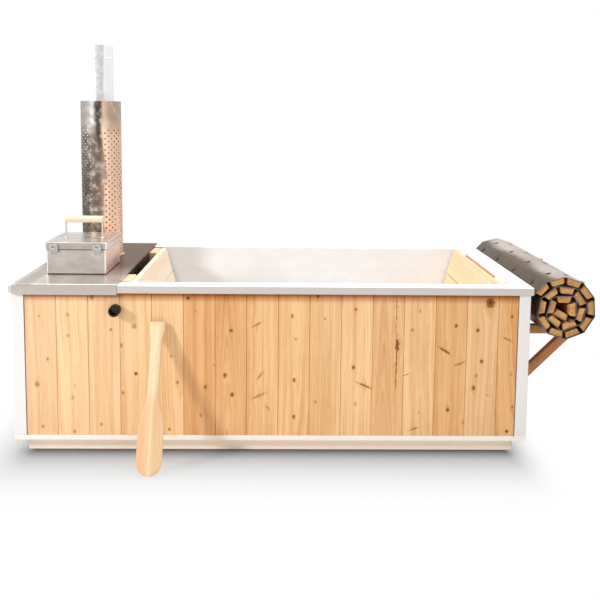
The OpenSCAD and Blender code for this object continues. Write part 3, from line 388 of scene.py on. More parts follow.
def counter_material():
    """Brushed steel with painted shade and reflections: darker towards the back and beside the fuel box, with
    dark lanes along its left end.
    """
    sh = Shader("counter_steel", (0.6, 0.57, 0.54), 0.3, 1.0)
    at = sh.place()
    x, y, z = sh.xyz(at)
    lines = sh.noise(at, (5, 420, 420), 4.0, 0.65)
    bands = sh.noise(at, (1.6, 60, 60), 3.0, 0.6)
    # Painted shade: shade darkens the base and lowers the specular tint towards the back and to the right of
    # the fuel box.
    far = y + (sh.noise(at, 5.0, 5.0, 0.6) - 0.5) * 0.25
    shade = sh.remap(far + sh.remap(x, -0.80, -0.70, -0.10, 0.22), -0.40, 0.12, smooth=True)
    base = sh.mix(shade, (0.66, 0.605, 0.555), (0.335, 0.28, 0.246))
    # Painted reflection: dark lanes along Y on the top of the left end.
    painted_reflection_lanes = sh.remap(sh.noise(at, (13, 0.5, 1), 2.0), 0.44, 0.60, smooth=True)
    painted_reflection_lanes = painted_reflection_lanes * sh.remap(x, -0.99, -0.90, 0.8, 0.15) * sh.remap(z, 0.7045, 0.7055)
    base = sh.mix(painted_reflection_lanes, base, (0.30, 0.265, 0.24))
    brush = sh.remap(lines, 0.3, 0.7, 0.0, 0.35) * sh.remap(shade, 0.0, 1.0, 1.0, 0.3)
    sh.put("Base Color", sh.mix(brush, base, (0.42, 0.38, 0.35)))
    sh.put("Specular Tint", sh.mix(shade, (1.0, 0.97, 0.94), (0.42, 0.355, 0.31)))
    sh.put("Roughness", sh.remap(bands, 0.3, 0.7, 0.20, 0.34))
    sh.bump(lines + bands * 0.5, 0.3, 0.00012)
    return sh.mat


def box_material(name, half_x, half_y, tone=1.0, painted_shadow_top=None):
    """Steel of fuel box and lid: painted highlights on the bends, a warm painted reflection on the right
    side, and a painted shadow below the lid's edge, black above it.
    """
    sh = Shader(name, (0.74, 0.68, 0.645), 0.3, 1.0)
    at = sh.place()
    x, y, z = sh.xyz(at)
    lines = sh.noise(at, (420, 420, 5), 4.0, 0.65)
    smear = sh.noise(at, (9, 9, 14), 5.0, 0.6)
    pale, dull = [tuple(c * tone for c in colour) for colour in ((0.82, 0.76, 0.72), (0.56, 0.50, 0.465))]
    base = sh.mix(sh.remap(smear, 0.38, 0.68), pale, dull)
    base = sh.mix(sh.remap(lines, 0.3, 0.7, 0.0, 0.18), base, (0.42, 0.38, 0.35))
    hx, hy = half_x * MM, half_y * MM
    u, v = x - HATCH_X * MM, y - HATCH_Y * MM
    # Painted reflection: the right side takes a warm colour.
    base = sh.mix(sh.remap(u, hx - 0.003, hx, 0.0, 0.75), base, (1.0, 0.74, 0.63))
    # Painted highlight: the upright bends are bright.
    bend = sh.remap(abs(u), hx - 0.008, hx - 0.003) * sh.remap(abs(v), hy - 0.008, hy - 0.003)
    base = sh.mix(bend, base, (0.98, 0.96, 0.95))
    if painted_shadow_top:
        # Painted shadow: a dark band just below the lid's edge.
        base = sh.mix(sh.remap(z, painted_shadow_top - 0.0085, painted_shadow_top, 0.0, 0.9), base, (0.09, 0.08, 0.07))
    sh.put("Base Color", base)
    sh.put("Roughness", sh.remap(smear, 0.3, 0.7, 0.24, 0.38))
    sh.bump(lines, 0.12, 0.00012)
    return sh.mat


def tank_material():
    """White coat inside the tank: weld beads along its edges, a faint water line and a duller floor."""
    sh = Shader("tank_coat", (0.86, 0.86, 0.855), 0.3)
    at = sh.place()
    x, y, z = sh.xyz(at)
    dust = sh.noise(at, (3, 3, 5), 5.0, 0.6)
    fine = sh.noise(at, 55.0, 3.0, 0.6)
    up = z - FLOOR_Z * MM
    base = sh.mix(sh.remap(dust, 0.40, 0.72), (0.89, 0.915, 0.945), (0.83, 0.845, 0.86))
    floor = sh.remap(up, 0.002, 0.03, 1.0, 0.0) * sh.remap(dust, 0.3, 0.7, 0.5, 1.0)
    base = sh.mix(floor, base, (0.66, 0.655, 0.64))
    level = z + (fine - 0.5) * 0.006 - WATER_Z * MM
    sh.put("Base Color", sh.mix(sh.remap(abs(level), 0.0, 0.009, 0.10, 0.0), base, (0.70, 0.68, 0.65)))
    sh.put("Roughness", sh.remap(dust, 0.3, 0.7, 0.26, 0.42))
    gaps = (TANK_X * MM - abs(x), TANK_Y * MM - abs(y), up)
    a, b, c = [sh.remap(gap, 0.004, 0.009, 1.0, 0.0, smooth=True) for gap in gaps]
    bead = sh.math("MAXIMUM", sh.math("MAXIMUM", a * b, b * c), a * c)
    bead = bead * sh.remap(sh.noise(at, 160.0, 2.0), 0.3, 0.7, 0.6, 1.0)
    sh.bump(bead * 3.0 + fine * 0.25, 0.5, 0.0012)
    return sh.mat


# Materials: colours are linear; wood takes its pale and its dark colour
M_CEDAR = wood("cedar", (0.95, 0.67, 0.37), (0.68, 0.35, 0.115), streak=0.6, rim_shadow_height=0.669)
M_REST = wood("rest_cedar", (0.95, 0.67, 0.43), (0.78, 0.47, 0.24), contrast=0.4)
# The fence: a paler copy of the rest's cedar, painted light that brightens a fence standing in shade.
M_FENCE_BRIGHTENED = wood("fence_cedar_brightened", (1.0, 0.86, 0.68), (0.92, 0.68, 0.46), contrast=0.4)
M_PINE = wood("pine", (0.91, 0.73, 0.50), (0.77, 0.54, 0.31), contrast=0.4)
M_GRIP = wood("grip_pine", (0.90, 0.75, 0.58), (0.76, 0.57, 0.38), ring=3.2, contrast=0.4)
M_HOOK = wood("hook_cedar", (0.97, 0.86, 0.77), (0.88, 0.70, 0.58), contrast=0.4)
M_RED = wood("red_cedar", (0.62, 0.30, 0.135), (0.36, 0.145, 0.055), ring=4.0, contrast=0.6, stain=0.35)
M_SLAT = wood("slat", (0.80, 0.45, 0.175), (0.30, 0.12, 0.035), contrast=0.9)
M_PINE_X = plain_wood("pine_x", (0.84, 0.63, 0.40), (0.64, 0.42, 0.22), "x")
M_PINE_Y = plain_wood("pine_y", (0.84, 0.63, 0.40), (0.64, 0.42, 0.22), "y")
M_PINE_Z = plain_wood("pine_z", (0.82, 0.60, 0.37), (0.62, 0.40, 0.20), "z")
M_POST = powder_coat("post_coat", (0.83, 0.83, 0.825))
M_RIM = powder_coat("rim_coat", (0.90, 0.925, 0.945), 0.34)
# The rim's outer band: a darker copy of the rim's white coat, painted shade on its front face.
M_RIM_BAND_SHADED = powder_coat("rim_band_shaded_coat", (0.60, 0.58, 0.565), 0.34)
# Rail and plinth: warm copies of the white coat, painted warm light on the rail and painted warm shade on the
# plinth.
M_RAIL_WARM_LIGHT = powder_coat("rail_warm_light_coat", (0.99, 0.915, 0.85))
M_PLINTH_WARM_SHADE = powder_coat("plinth_warm_shade_coat", (1.0, 0.87, 0.735), 0.42)
M_STEEL_X = brushed("steel_x", (0.60, 0.58, 0.56), 0)
M_STEEL_Z = brushed("steel_z", (0.74, 0.68, 0.645), 2, streak=0.07, scratch=0.12)
M_CLASP = brushed("clasp_steel", (0.60, 0.59, 0.57), 2, 0.28, streak=0.06)
M_STOVE = brushed("stove_plate", (0.48, 0.48, 0.47), 2, 0.5)
M_BRASS = brushed("brass", (0.70, 0.50, 0.22), 0)
M_IRON = matt("grate_iron", (0.05, 0.047, 0.045), 0.65, 160.0, 0.6)
M_RUBBER = matt("seal_rubber", (0.018, 0.018, 0.018), 0.6)
# Black backing; it is also used as painted shade on the outer face of the coil's inner turns.
M_SHEET_BACK_AND_CORE_SHADE = matt("cover_backing_and_core_shade", (0.010, 0.009, 0.008), 0.9, 900.0, 0.3)
M_SHEET_EDGE = matt("cover_edge", (0.13, 0.135, 0.14), 0.8, 900.0, 0.3)
M_PLASTIC = matt("black_plastic", (0.007, 0.006, 0.006), 0.5, 700.0, 0.2, gloss=0.2)
M_FOAM = matt("foam", (0.78, 0.74, 0.55), 0.9, 250.0, 0.8)
M_SCREW = matt("dark_screws", (0.012, 0.010, 0.009), 0.75, 500.0, 0.2)
M_RED_GRIP = matt("red_lever", (0.45, 0.03, 0.02), 0.35, 300.0, 0.15)
M_FLUE = flue_material()
M_GUARD = guard_material()
M_COUNTER = counter_material()
M_BOX = box_material("box_steel", BOX_HX, BOX_HY, painted_shadow_top=0.8205)
M_LID = box_material("lid_steel", LID_HX, LID_HY, tone=0.84)
M_TANK = tank_material()

# Materials of the CAD nodes that show as they are
PLAIN = {
    M_TANK: "tank tank_floor",
    M_STEEL_X: "air_guides air_slide hinge_leaf hinge_pin",
    M_STEEL_Z: "guard_spacers latch_bases lid_keepers drain_strainer drain_ball",
    M_STOVE: "firebox",
    M_IRON: "fire_grate",
    M_RUBBER: "counter_seal hatch_seal lid_seal overflow_gasket",
    M_PLASTIC: "overflow_nut air_knob",
    M_FOAM: "floor_insulation wall_insulation",
    M_BRASS: "drain_body",
    M_RED_GRIP: "drain_lever",
    M_PINE_X: "base_panel battens",
    M_PINE_Y: "bearers fence_blocks",
    M_PINE_Z: "fence_battens rest_battens",
}
for mat, names in PLAIN.items():
    for node in names.split():
        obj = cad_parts[node]
        obj.data.materials.clear()
        obj.data.materials.append(mat)


# Meshes: every length below is in millimetres and turned into metres at the end
# Knot distance where there is none, and the slant that stands for a long upright streak
NO_KNOT = 9.0
SLIM = 9


class Build:
    """Collects the vertices, faces, wood coordinates and material numbers of one piece."""

    def __init__(self):
        self.verts, self.faces, self.slots = [], [], []
        self.wood, self.knot, self.tone, self.kind = [], [], [], []

    def add(self, verts, faces, slot=0, wood=None, knot=None, tone=(1.0, 0.0, 0.0), kind=None):
        start, count = len(self.verts), len(verts)
        verts = [tuple(v) for v in verts]
        self.verts += verts
        self.faces += [tuple(start + i for i in f) for f in faces]
        self.slots += list(slot) if hasattr(slot, "__len__") else [slot] * len(faces)
        if wood is None:
            wood = [(x * MM, y * MM, z * MM) for x, y, z in verts]
        self.wood += [tuple(w) for w in wood]
        self.knot += list(knot) if knot is not None else [NO_KNOT] * count
        self.tone += tone if isinstance(tone, list) else [tone] * count
        self.kind += list(kind) if kind is not None else [0.8] * count

    def turned(self, profile, segments, place, closed=False):
        """Adds a profile of (radius, height) turned about Z."""
        verts, faces = lathe(profile, segments, closed)
        self.add(transform(verts, place), faces)

    def make(self, name, mats, body, slot, replaces, sharp=32.0, even=False):
        mesh = bpy.data.meshes.new(name)
        mesh.from_pydata((np.array(self.verts, float) * MM).tolist(), [], self.faces)
        for mat in mats if isinstance(mats, list) else [mats]:
            mesh.materials.append(mat)
        for key, kind, field in (("wood", "FLOAT_VECTOR", "vector"), ("tone", "FLOAT_VECTOR", "vector"),
                                 ("knot", "FLOAT", "value"), ("kind", "FLOAT", "value")):
            numbers = np.array(getattr(self, key), float).ravel()
            mesh.attributes.new(key, kind, "POINT").data.foreach_set(field, numbers)
        mesh.polygons.foreach_set("material_index", self.slots)
        mesh.polygons.foreach_set("use_smooth", [True] * len(mesh.polygons))
        mesh.set_sharp_from_angle(angle=math.radians(sharp))
        mesh.validate()
        mesh.update()
        if even:
            even_normals(mesh, sharp)
        return make_piece(mesh, body, replaces)


def make_piece(mesh, body, replaces):
    piece = bpy.data.objects.new(mesh.name, mesh)
    scene.collection.objects.link(piece)
    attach(piece, body)
    if replaces:
        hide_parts(*replaces)
    return piece


def even_normals(mesh, sharp):
    """Normals weighted by face size, so that large flat faces stay flat beside rounded bends."""
    limit = math.cos(math.radians(sharp))
    flat = np.array([p.normal for p in mesh.polygons])
    area = np.array([p.area for p in mesh.polygons])
    at = [[] for _ in mesh.vertices]
    for p in mesh.polygons:
        for v in p.vertices:
            at[v].append(p.index)
    made = []
    for p in mesh.polygons:
        for v in p.vertices:
            near = [f for f in at[v] if flat[f] @ flat[p.index] > limit]
            total = (flat[near] * area[near, None]).sum(axis=0)
            made.append(tuple(total / max(1e-12, np.linalg.norm(total))))
    mesh.normals_split_custom_set(made)


def transform(verts, matrix):
    return np.array(verts, float) @ np.array(matrix.to_3x3()).T + np.array(matrix.translation)


def turned(at, angle=math.pi / 2, axis="Y"):
    """Matrix that turns about an axis and then moves to a point."""
    return Matrix.Translation(at) @ Matrix.Rotation(angle, 4, axis)


def frame_of(origin, u, v, w):
    """Matrix that takes (across, out of the face, along) to the object's frame."""
    made = Matrix((u, v, w)).transposed().to_4x4()
    made.translation = Vector(origin)
    return made


def band_faces(n, m, closed=False):
    """Faces between m rings of n points; closed joins the last ring to the first."""
    return [(k * n + i, k * n + (i + 1) % n, (k + 1) % m * n + (i + 1) % n, (k + 1) % m * n + i)
            for k in range(m if closed else m - 1) for i in range(n)]


def cap_faces(n, m):
    return [tuple(range(n))[::-1], tuple((m - 1) * n + i for i in range(n))]


def loft(rings):
    """Solid between equal rings of points."""
    n, m = len(rings[0]), len(rings)
    return [p for ring in rings for p in ring], band_faces(n, m) + cap_faces(n, m)


def lathe(profile, segments, closed=False):
    """Solid of a profile of (radius, height) turned about Z; closed joins its last point to its first."""
    angles = [2 * math.pi * i / segments for i in range(segments)]
    verts = [(r * math.cos(a), r * math.sin(a), z) for r, z in profile for a in angles]
    m = len(profile)
    return verts, band_faces(segments, m, closed) + ([] if closed else cap_faces(segments, m))


def plank_profile(width, thick, bevel, count):
    """Closed outline of a plank: face at v = 0 with bevels, back at v = -thick."""
    e, u, v = 0.6, bevel * 0.45, -bevel * 0.42
    face = [(0.0, -bevel - e), (u, v), *[(x, 0.0) for x in np.linspace(bevel, width - bevel, count)]]
    face += [(width - u, v), (width, -bevel - e)]
    return face + [(width, -thick + e), (width - e, -thick), (e, -thick), (0.0, -thick + e)]


def boldness(rng, radius, slant):
    """How dark a knot is: slanted small ones are faint, large ones bold."""
    if 0 < abs(slant) < 5 and radius < 9:
        return rng.uniform(0.15, 0.5)
    if radius > 5.5 or slant:
        return rng.uniform(0.5, 1.0)
    return rng.choice([0.1, 0.25, 0.45, 0.8])


def grain_field(u, w, depth, seed, knots):
    """Wood coordinates and knot distance at points across u, along w and deep in the board.

    A knot is (across, along, radius, slant, share of its darkness); the slant SLIM makes it a long streak.
    """
    rng = random.Random(seed)
    pith = rng.choice([rng.uniform(-0.9, -0.2), rng.uniform(0.1, 0.9), rng.uniform(1.2, 1.9)])
    below = rng.choice([rng.uniform(0.02, 0.05), rng.uniform(0.05, 0.1), rng.uniform(0.08, 0.16)])
    tilt = rng.uniform(-0.035, 0.035)
    shift = rng.uniform(0, 40)
    dist = np.full(u.shape, NO_KNOT)
    kind = np.full(u.shape, 0.5)
    push = np.zeros(u.shape)
    for ku, kw, radius, slant, *share in knots:
        dx, dz = u - ku, w - kw
        if slant == SLIM:
            wide, long, thin = dx * 3.2, dz / 9.0, 0.0
        else:
            wide = dx * math.cos(slant) + dz * math.sin(slant)
            long = dz * math.cos(slant) - dx * math.sin(slant)
            thin = abs(math.sin(slant))
        away = np.hypot(wide * (1.15 + 1.1 * thin), long / (1.15 + 1.9 * thin)) / radius
        kind = np.where(away < dist, boldness(rng, radius, slant) * (share[0] if share else 1.0), kind)
        dist = np.minimum(dist, away)
        swell = radius * 1.25
        near = np.hypot(dx, dz * 0.36)
        push -= dx * swell ** 2 / np.maximum(near, swell) ** 2 * np.exp(-((near / (swell * 5.0)) ** 2))
    across = (u - pith * (u.max() - u.min()) + push) * MM
    return np.stack([across, below + (tilt * w - depth) * MM, w * MM + shift], axis=-1), dist, kind


def plank(build, place, width, thick, length, seed, tone, knots, bevel, fine, bow=0.0):
    """One board: place takes (across, out, along) to the object's frame, with the face at v = 0."""
    profile = plank_profile(width, thick, bevel, max(4, int(width / fine)))
    ease = 0.8
    inner = np.linspace(ease, length - ease, max(4, int(length / (fine * 1.1))))
    rings = []
    for w in (0.0, *inner, length):
        s = ease if w in (0.0, length) else 0.0
        ring = []
        for u, v in profile:
            u = min(max(u, s), width - s)
            v = min(v, -s) if v > -thick * 0.5 else max(v, -thick + s)
            ring.append((u, v + bow * math.sin(math.pi * u / width), w))
        rings.append(ring)
    verts, faces = loft(rings)
    u, v, w = np.array(verts).T
    grain, dist, kind = grain_field(u, w, -v, seed, knots)
    build.add(transform(verts, place), faces, 0, grain, dist, tone, kind)


def random_knots(rng, width, length, mean):
    made = []
    for _ in range(rng.choice([max(0, mean - 2), mean, mean, mean + 1])):
        radius = rng.choice([4, 4, 5, 5, 6, 7, 9])
        spot = (rng.uniform(0.1, 0.9) * width, rng.uniform(0.04, 0.96) * length)
        if all(math.hypot(spot[0] - m[0], spot[1] - m[1]) > 45 for m in made):
            made.append((*spot, radius, rng.choice([0, 0, 0, 0.9, -1.0])))
    return made


def round_path(hx, hy, r, centre=(0.0, 0.0), arc=6):
    """Points and outward normals round a rectangle with rounded corners, anticlockwise."""
    made = []
    for k, (sx, sy) in enumerate(((1, -1), (1, 1), (-1, 1), (-1, -1))):
        for i in range(arc + 1):
            a = math.radians(-90 + 90 * k + 90 * i / arc)
            n = (math.cos(a), math.sin(a))
            made.append((centre[0] + sx * (hx - r) + r * n[0], centre[1] + sy * (hy - r) + r * n[1], *n))
    return made


def bar(build, lo, hi, ease=1.5, tone=(1, 0, 0), seed=0, along=2, steps=6):
    """Squared bar between two corners with eased edges; along is its long axis."""
    lo, hi = np.array(lo, float), np.array(hi, float)
    across, up = {0: (1, 2), 1: (2, 0), 2: (0, 1)}[along]
    wide, deep, length = (hi - lo)[[across, up, along]]
    e, c = ease, ease * 0.3
    profile = [(e, 0), (wide - e, 0), (wide - c, c), (wide, e), (wide, deep - e), (wide - c, deep - c),
               (wide - e, deep), (e, deep), (c, deep - c), (0, deep - e), (0, e), (c, c)]
    rings = []
    for w in (0.0, *np.linspace(e, length - e, steps), length):
        s = e * 0.7 if w in (0.0, length) else 0.0
        ring = []
        for a, b in profile:
            p = [0.0, 0.0, 0.0]
            p[across] = lo[across] + min(max(a, s), wide - s)
            p[up] = lo[up] + min(max(b, s), deep - s)
            p[along] = lo[along] + w
            ring.append(p)
        rings.append(ring)
    verts, faces = loft(rings)
    rng = random.Random(seed)
    shift = [rng.uniform(-0.06, 0.06), rng.uniform(0.01, 0.09), rng.uniform(0, 30)]
    start = [lo[across], lo[up], 0.0]
    grain = (np.array(verts)[:, [across, up, along]] - start) * MM + shift
    build.add(verts, faces, 0, grain, None, tone)


# Knots seen on the front: place along the tub, height, radius
FRONT_KNOTS = (
    (-950, 575, 5), (-920, 395, 7), (-965, 290, 8), (-945, 110, 5), (-835, 580, 5), (-835, 495, 5),
    (-810, 285, 4), (-820, 235, 5), (-815, 90, 5), (-660, 520, 5), (-565, 535, 8), (-620, 455, 6),
    (-615, 255, 6), (-560, 335, 6), (-735, 655, 7), (-345, 655, 7), (-315, 600, 4), (-415, 410, 4),
    (-390, 300, 6), (-275, 280, 6), (-295, 160, 5), (-425, 100, 5), (-705, 120, 5), (-170, 520, 7),
    (-195, 330, 8), (-165, 250, 8), (-240, 375, 4), (-65, 545, 7), (-50, 330, 7), (-55, 245, 8),
    (-20, 195, 6), (80, 580, 6), (95, 485, 4), (90, 310, 6), (90, 155, 6), (185, 665, 6), (215, 570, 5),
    (340, 610, 5), (180, 220, 6), (335, 365, 6), (380, 290, 9), (345, 210, 5), (235, 200, 3),
    (515, 465, 10), (550, 335, 5), (605, 605, 4), (512, 478, 8), (514, 452, 9), (511, 380, 9),
    (509, 590, 8), (575, 525, 5), (610, 175, 4), (590, 105, 6), (755, 545, 6), (710, 440, 9),
    (775, 385, 7), (730, 190, 7), (795, 135, 5), (893, 640, 17), (845, 525, 6), (865, 395, 6),
    (845, 335, 5), (835, 280, 7), (895, 250, 5), (985, 585, 6), (965, 490, 7), (990, 340, 5),
    (1000, 200, 5), (980, 95, 6))
SLANTS = {
    (511, 380): SLIM, (509, 590): SLIM, (-65, 545): -1.05, (-50, 330): -0.6, (-55, 245): -1.15,
    (-20, 195): 0.6, (380, 290): 1.15, (550, 335): -1.2, (710, 440): 1.0, (775, 385): -1.2,
    (590, 105): -1.2, (965, 490): 1.1}
# Knots left of this place are fainter
FAINT_X, FAINT = -560, 0.4
# Brightness, warmth and pinkness of the front boards, left to right
FRONT_TONES = (
    (1.01, 0.12, 0.28), (1.03, 0.0, 0.20), (1.01, 0.0, 0.20), (1.01, 0.05, 0.15), (1.0, 0.1, 0.10),
    (0.97, 0.42, 0.0), (0.97, 0.35, 0.0), (1.0, 0.2, 0.0), (1.02, 0.1, 0.0), (0.99, 0.12, 0.05),
    (1.02, 0.1, 0.05), (0.97, 0.25, 0.05), (1.0, 0.1, 0.05), (0.97, 0.35, 0.0), (0.98, 0.2, 0.1),
    (0.97, 0.4, 0.0))


def front_knots(left):
    """The knots of the front board whose left edge is at left."""
    here = [k for k in FRONT_KNOTS if left <= k[0] < left + BOARD_W]
    return [(x - left, z - FIELD_Z0, r, SLANTS.get((x, z), 0.0), FAINT if x < FAINT_X else 1.0)
            for x, z, r in here]


def board_field(side, origin, along, out, length, seed):
    """Upright boards of one side, from its left corner as seen from outside."""
    build = Build()
    rng = random.Random(seed)
    corner = frame_of(origin, Vector(along), Vector(out), Vector((0, 0, 1)))
    tall = FIELD_Z1 - FIELD_Z0
    for i in range(math.ceil(length / BOARD_W - 0.05)):
        start = i * BOARD_W
        width = min(BOARD_W, length - start) - BOARD_GAP
        if side == "front":
            tone, knots = FRONT_TONES[i], front_knots(start - length / 2)
        else:
            warmth, pinkness = (-0.15, 0.25), (-0.2, 0.22)
            tone = (rng.uniform(0.94, 1.05), max(0, rng.uniform(*warmth)), max(0, rng.uniform(*pinkness)))
            knots = random_knots(rng, width, tall, 4)
        place = corner @ Matrix.Translation((start, rng.uniform(-0.5, 0.0), 0))
        bow = rng.uniform(-0.5, 0.1)
        plank(build, place, width, BOARD_T, tall, seed * 100 + i, tone, knots, 2.5, 4.6, bow)
    build.make(side + "_clad", M_CEDAR, "tub", "cedar", (side + "_boards",))


board_field("front", (-FIELD_X, -BOARD_Y, FIELD_Z0), (1, 0, 0), (0, -1, 0), 2 * FIELD_X, 11)
board_field("back", (FIELD_X, BOARD_Y, FIELD_Z0), (-1, 0, 0), (0, 1, 0), 2 * FIELD_X, 12)
board_field("left", (-BOARD_X, FIELD_Y, FIELD_Z0), (0, -1, 0), (-1, 0, 0), 2 * FIELD_Y, 13)
board_field("right", (BOARD_X, -FIELD_Y, FIELD_Z0), (0, 1, 0), (1, 0, 0), 2 * FIELD_Y, 14)


# Leaning fence and backrest
REST_TOP = TUB_H - 2 - REST_T * math.sin(LEAN)
REST_SLOPE = (REST_TOP - FLOOR_Z) / math.cos(LEAN)


def leaning_panel(name, x_top, side, seed, node, mat):
    """Five boards lying across the tub, one below the other, from the rim down to the floor."""
    s, c = math.sin(LEAN), math.cos(LEAN)
    down, out, along = Vector((-side * s, 0, -c)), Vector((-side * c, 0, s)), Vector((0, side, 0))
    build = Build()
    rng = random.Random(seed)
    for i in range(5):
        width = min(BOARD_W, REST_SLOPE - i * REST_STEP)
        base = Vector((x_top, -side * REST_L / 2, REST_TOP)) + out * REST_T + down * (i * REST_STEP)
        knots = [(across, far, r, slant) for far, across, r, slant in random_knots(rng, REST_L, BOARD_W, 5)]
        knots = [k for k in knots if k[0] < width]
        tone = (rng.uniform(0.95, 1.02), max(0, rng.uniform(-0.1, 0.12)), rng.uniform(0.0, 0.15))
        plank(build, frame_of(base, down, out, along), width, REST_T, REST_L, seed + i, tone, knots, 2.2, 6.5)
    build.make(name, mat, "tub", "cedar", (node,))


leaning_panel("fence_slats", -596.0, -1, 300, "fence_boards", M_FENCE_BRIGHTENED)
leaning_panel("rest_slats", 970.0, 1, 400, "rest_boards", M_REST)


# Roll-up cover: the same spiral as the solids, with the sheet bent softly between the slats
SLAT_N, SLAT_W, SLAT_WI, SLAT_T, SLAT_GAP, SKIN = 20, 60.0, 46.0, 25.0, 14.0, 3.0
ROLL_D0, ROLL_PITCH, ROLL_END, COVER_L = 35.3, 37.3, 137, 1212.0
SCREW_Y = [k * COVER_L * 0.26 for k in (-1.5, -0.5, 0.5, 1.5)]
# The outer turn starts at this slat; only its slats show screws
OUTER_TURN = SLAT_N - 8


def spiral():
    """Direction and distance from the roll's middle of every slat, the last one at ROLL_END degrees."""
    turns, angle = [], 0.0
    for _ in range(SLAT_N):
        turns.append(angle)
        angle += math.degrees((SLAT_W + SLAT_GAP) / (ROLL_D0 + ROLL_PITCH * angle / 360))
    start = ROLL_END - turns[-1]
    dists = [ROLL_D0 + ROLL_PITCH * a / 360 for a in turns]
    return [math.radians(a + start) for a in turns], dists


TURNS, DISTS = spiral()


def roll_local(i, u, v):
    """Point at u along and v over slat i, from the roll's middle."""
    c, s = math.cos(TURNS[i]), math.sin(TURNS[i])
    return np.array([(DISTS[i] + v) * c - u * s, (DISTS[i] + v) * s + u * c])


def roll_centre():
    """The roll rests on the cradle's arms and against the rim."""
    half = SLAT_W / 2
    corners = [roll_local(0, -half - SLAT_GAP / 2, SKIN), roll_local(SLAT_N - 1, half + SLAT_GAP / 2, SKIN)]
    corners += [roll_local(i, u, SKIN) for i in range(SLAT_N) for u in (-half, half)]
    left, low = np.array(corners).min(axis=0)
    return TUB_L / 2 + 0.5 - left, ARM_Z + 0.3 - low


ROLL_X, ROLL_Z = roll_centre()
ROLL_AT = np.array([ROLL_X, ROLL_Z])
M_SHEET = sheet_material()
LINE_STEPS = 11


def sheet_line(v):
    """The sheet's line at height v over the slats: 7 points on each slat, a soft bend of 4 in each gap."""
    half, tail = SLAT_W / 2, SLAT_W / 2 + SLAT_GAP / 2
    pts = [roll_local(0, -tail, v)]
    for i in range(SLAT_N):
        pts += [roll_local(i, u, v) for u in np.linspace(-half, half, 7)]
        if i == SLAT_N - 1:
            continue
        p, q = roll_local(i, half, v), roll_local(i + 1, -half, v)
        leave, meet = [roll_local(k, 1, 0) - roll_local(k, 0, 0) for k in (i, i + 1)]
        span = np.linalg.norm(q - p)
        for t in (0.2, 0.4, 0.6, 0.8):
            on = 2 * t ** 3 - 3 * t ** 2 + 1
            bend = (t ** 3 - 2 * t ** 2 + t) * span * leave + (t ** 3 - t ** 2) * span * meet
            pts.append(on * p + (1 - on) * q + bend)
    return np.array(pts + [roll_local(SLAT_N - 1, tail, v)]) + ROLL_AT


def sheet_dip(slat, x, y, z, outside, wave):
    """How far the sheet moves out at a point: dimples at the screws, slight waves between the slats."""
    mid = roll_local(slat, 0, 0) + ROLL_AT
    along = abs((z - mid[1]) * math.cos(TURNS[slat]) - (x - mid[0]) * math.sin(TURNS[slat]))
    dip = 0.0
    if slat >= OUTER_TURN and outside:
        near = min(abs(y - s) for s in SCREW_Y)
        dip = -2.4 * math.exp(-(near ** 2 + along ** 2) / 240.0)
    if along > SLAT_W / 2:
        dip += 0.35 * math.sin(y / 95.0 + wave * 0.2 + slat)
    return dip


def make_sheet():
    inner, outer = sheet_line(0.15), sheet_line(SKIN - 0.15)
    n = len(inner)
    round_screw = np.array([-20, -14, -9, -5, 0, 5, 9, 14, 20])
    even = np.linspace(-COVER_L / 2, COVER_L / 2, 61)
    ys = np.unique(np.concatenate([even, *[s + round_screw for s in SCREW_Y]]))
    wave = np.random.default_rng(7).uniform(-1, 1, (n, 6))[:, 0]
    verts, faces, slots = [], [], []
    for y in ys:
        for line in (inner, outer):
            for j, (x, z) in enumerate(line):
                slat = min(SLAT_N - 1, max(0, (j - 1) // LINE_STEPS))
                dip = sheet_dip(slat, x, y, z, line is outer, wave[j])
                verts.append((x + dip * math.cos(TURNS[slat]), y, z + dip * math.sin(TURNS[slat])))
    m = 2 * n
    for k in range(len(ys) - 1):
        a, b = k * m, (k + 1) * m
        for j in range(n - 1):
            faces.append((a + j, a + j + 1, b + j + 1, b + j))
            faces.append((a + n + j + 1, a + n + j, b + n + j, b + n + j + 1))
            # On the inner turns the outer face takes the black backing material too: painted shade in the
            # core of the coil.
            slots += [1, 0 if j >= (SLAT_N - 12) * LINE_STEPS else 1]
        faces.append((a, b, b + n, a + n))
        faces.append((a + n - 1, a + m - 1, b + m - 1, b + n - 1))
        slots += [2, 2]
    last = (len(ys) - 1) * m
    for j in range(n - 1):
        faces.append((j, n + j, n + j + 1, j + 1))
        faces.append((last + j, last + j + 1, last + n + j + 1, last + n + j))
        slots += [2, 2]
    build = Build()
    build.add(verts, faces, slots)
    mats = [M_SHEET, M_SHEET_BACK_AND_CORE_SHADE, M_SHEET_EDGE]
    sheet = build.make("roll_sheet", mats, "roll_cover", "cover_sheet", ("roll_skin",), 50)


make_sheet()


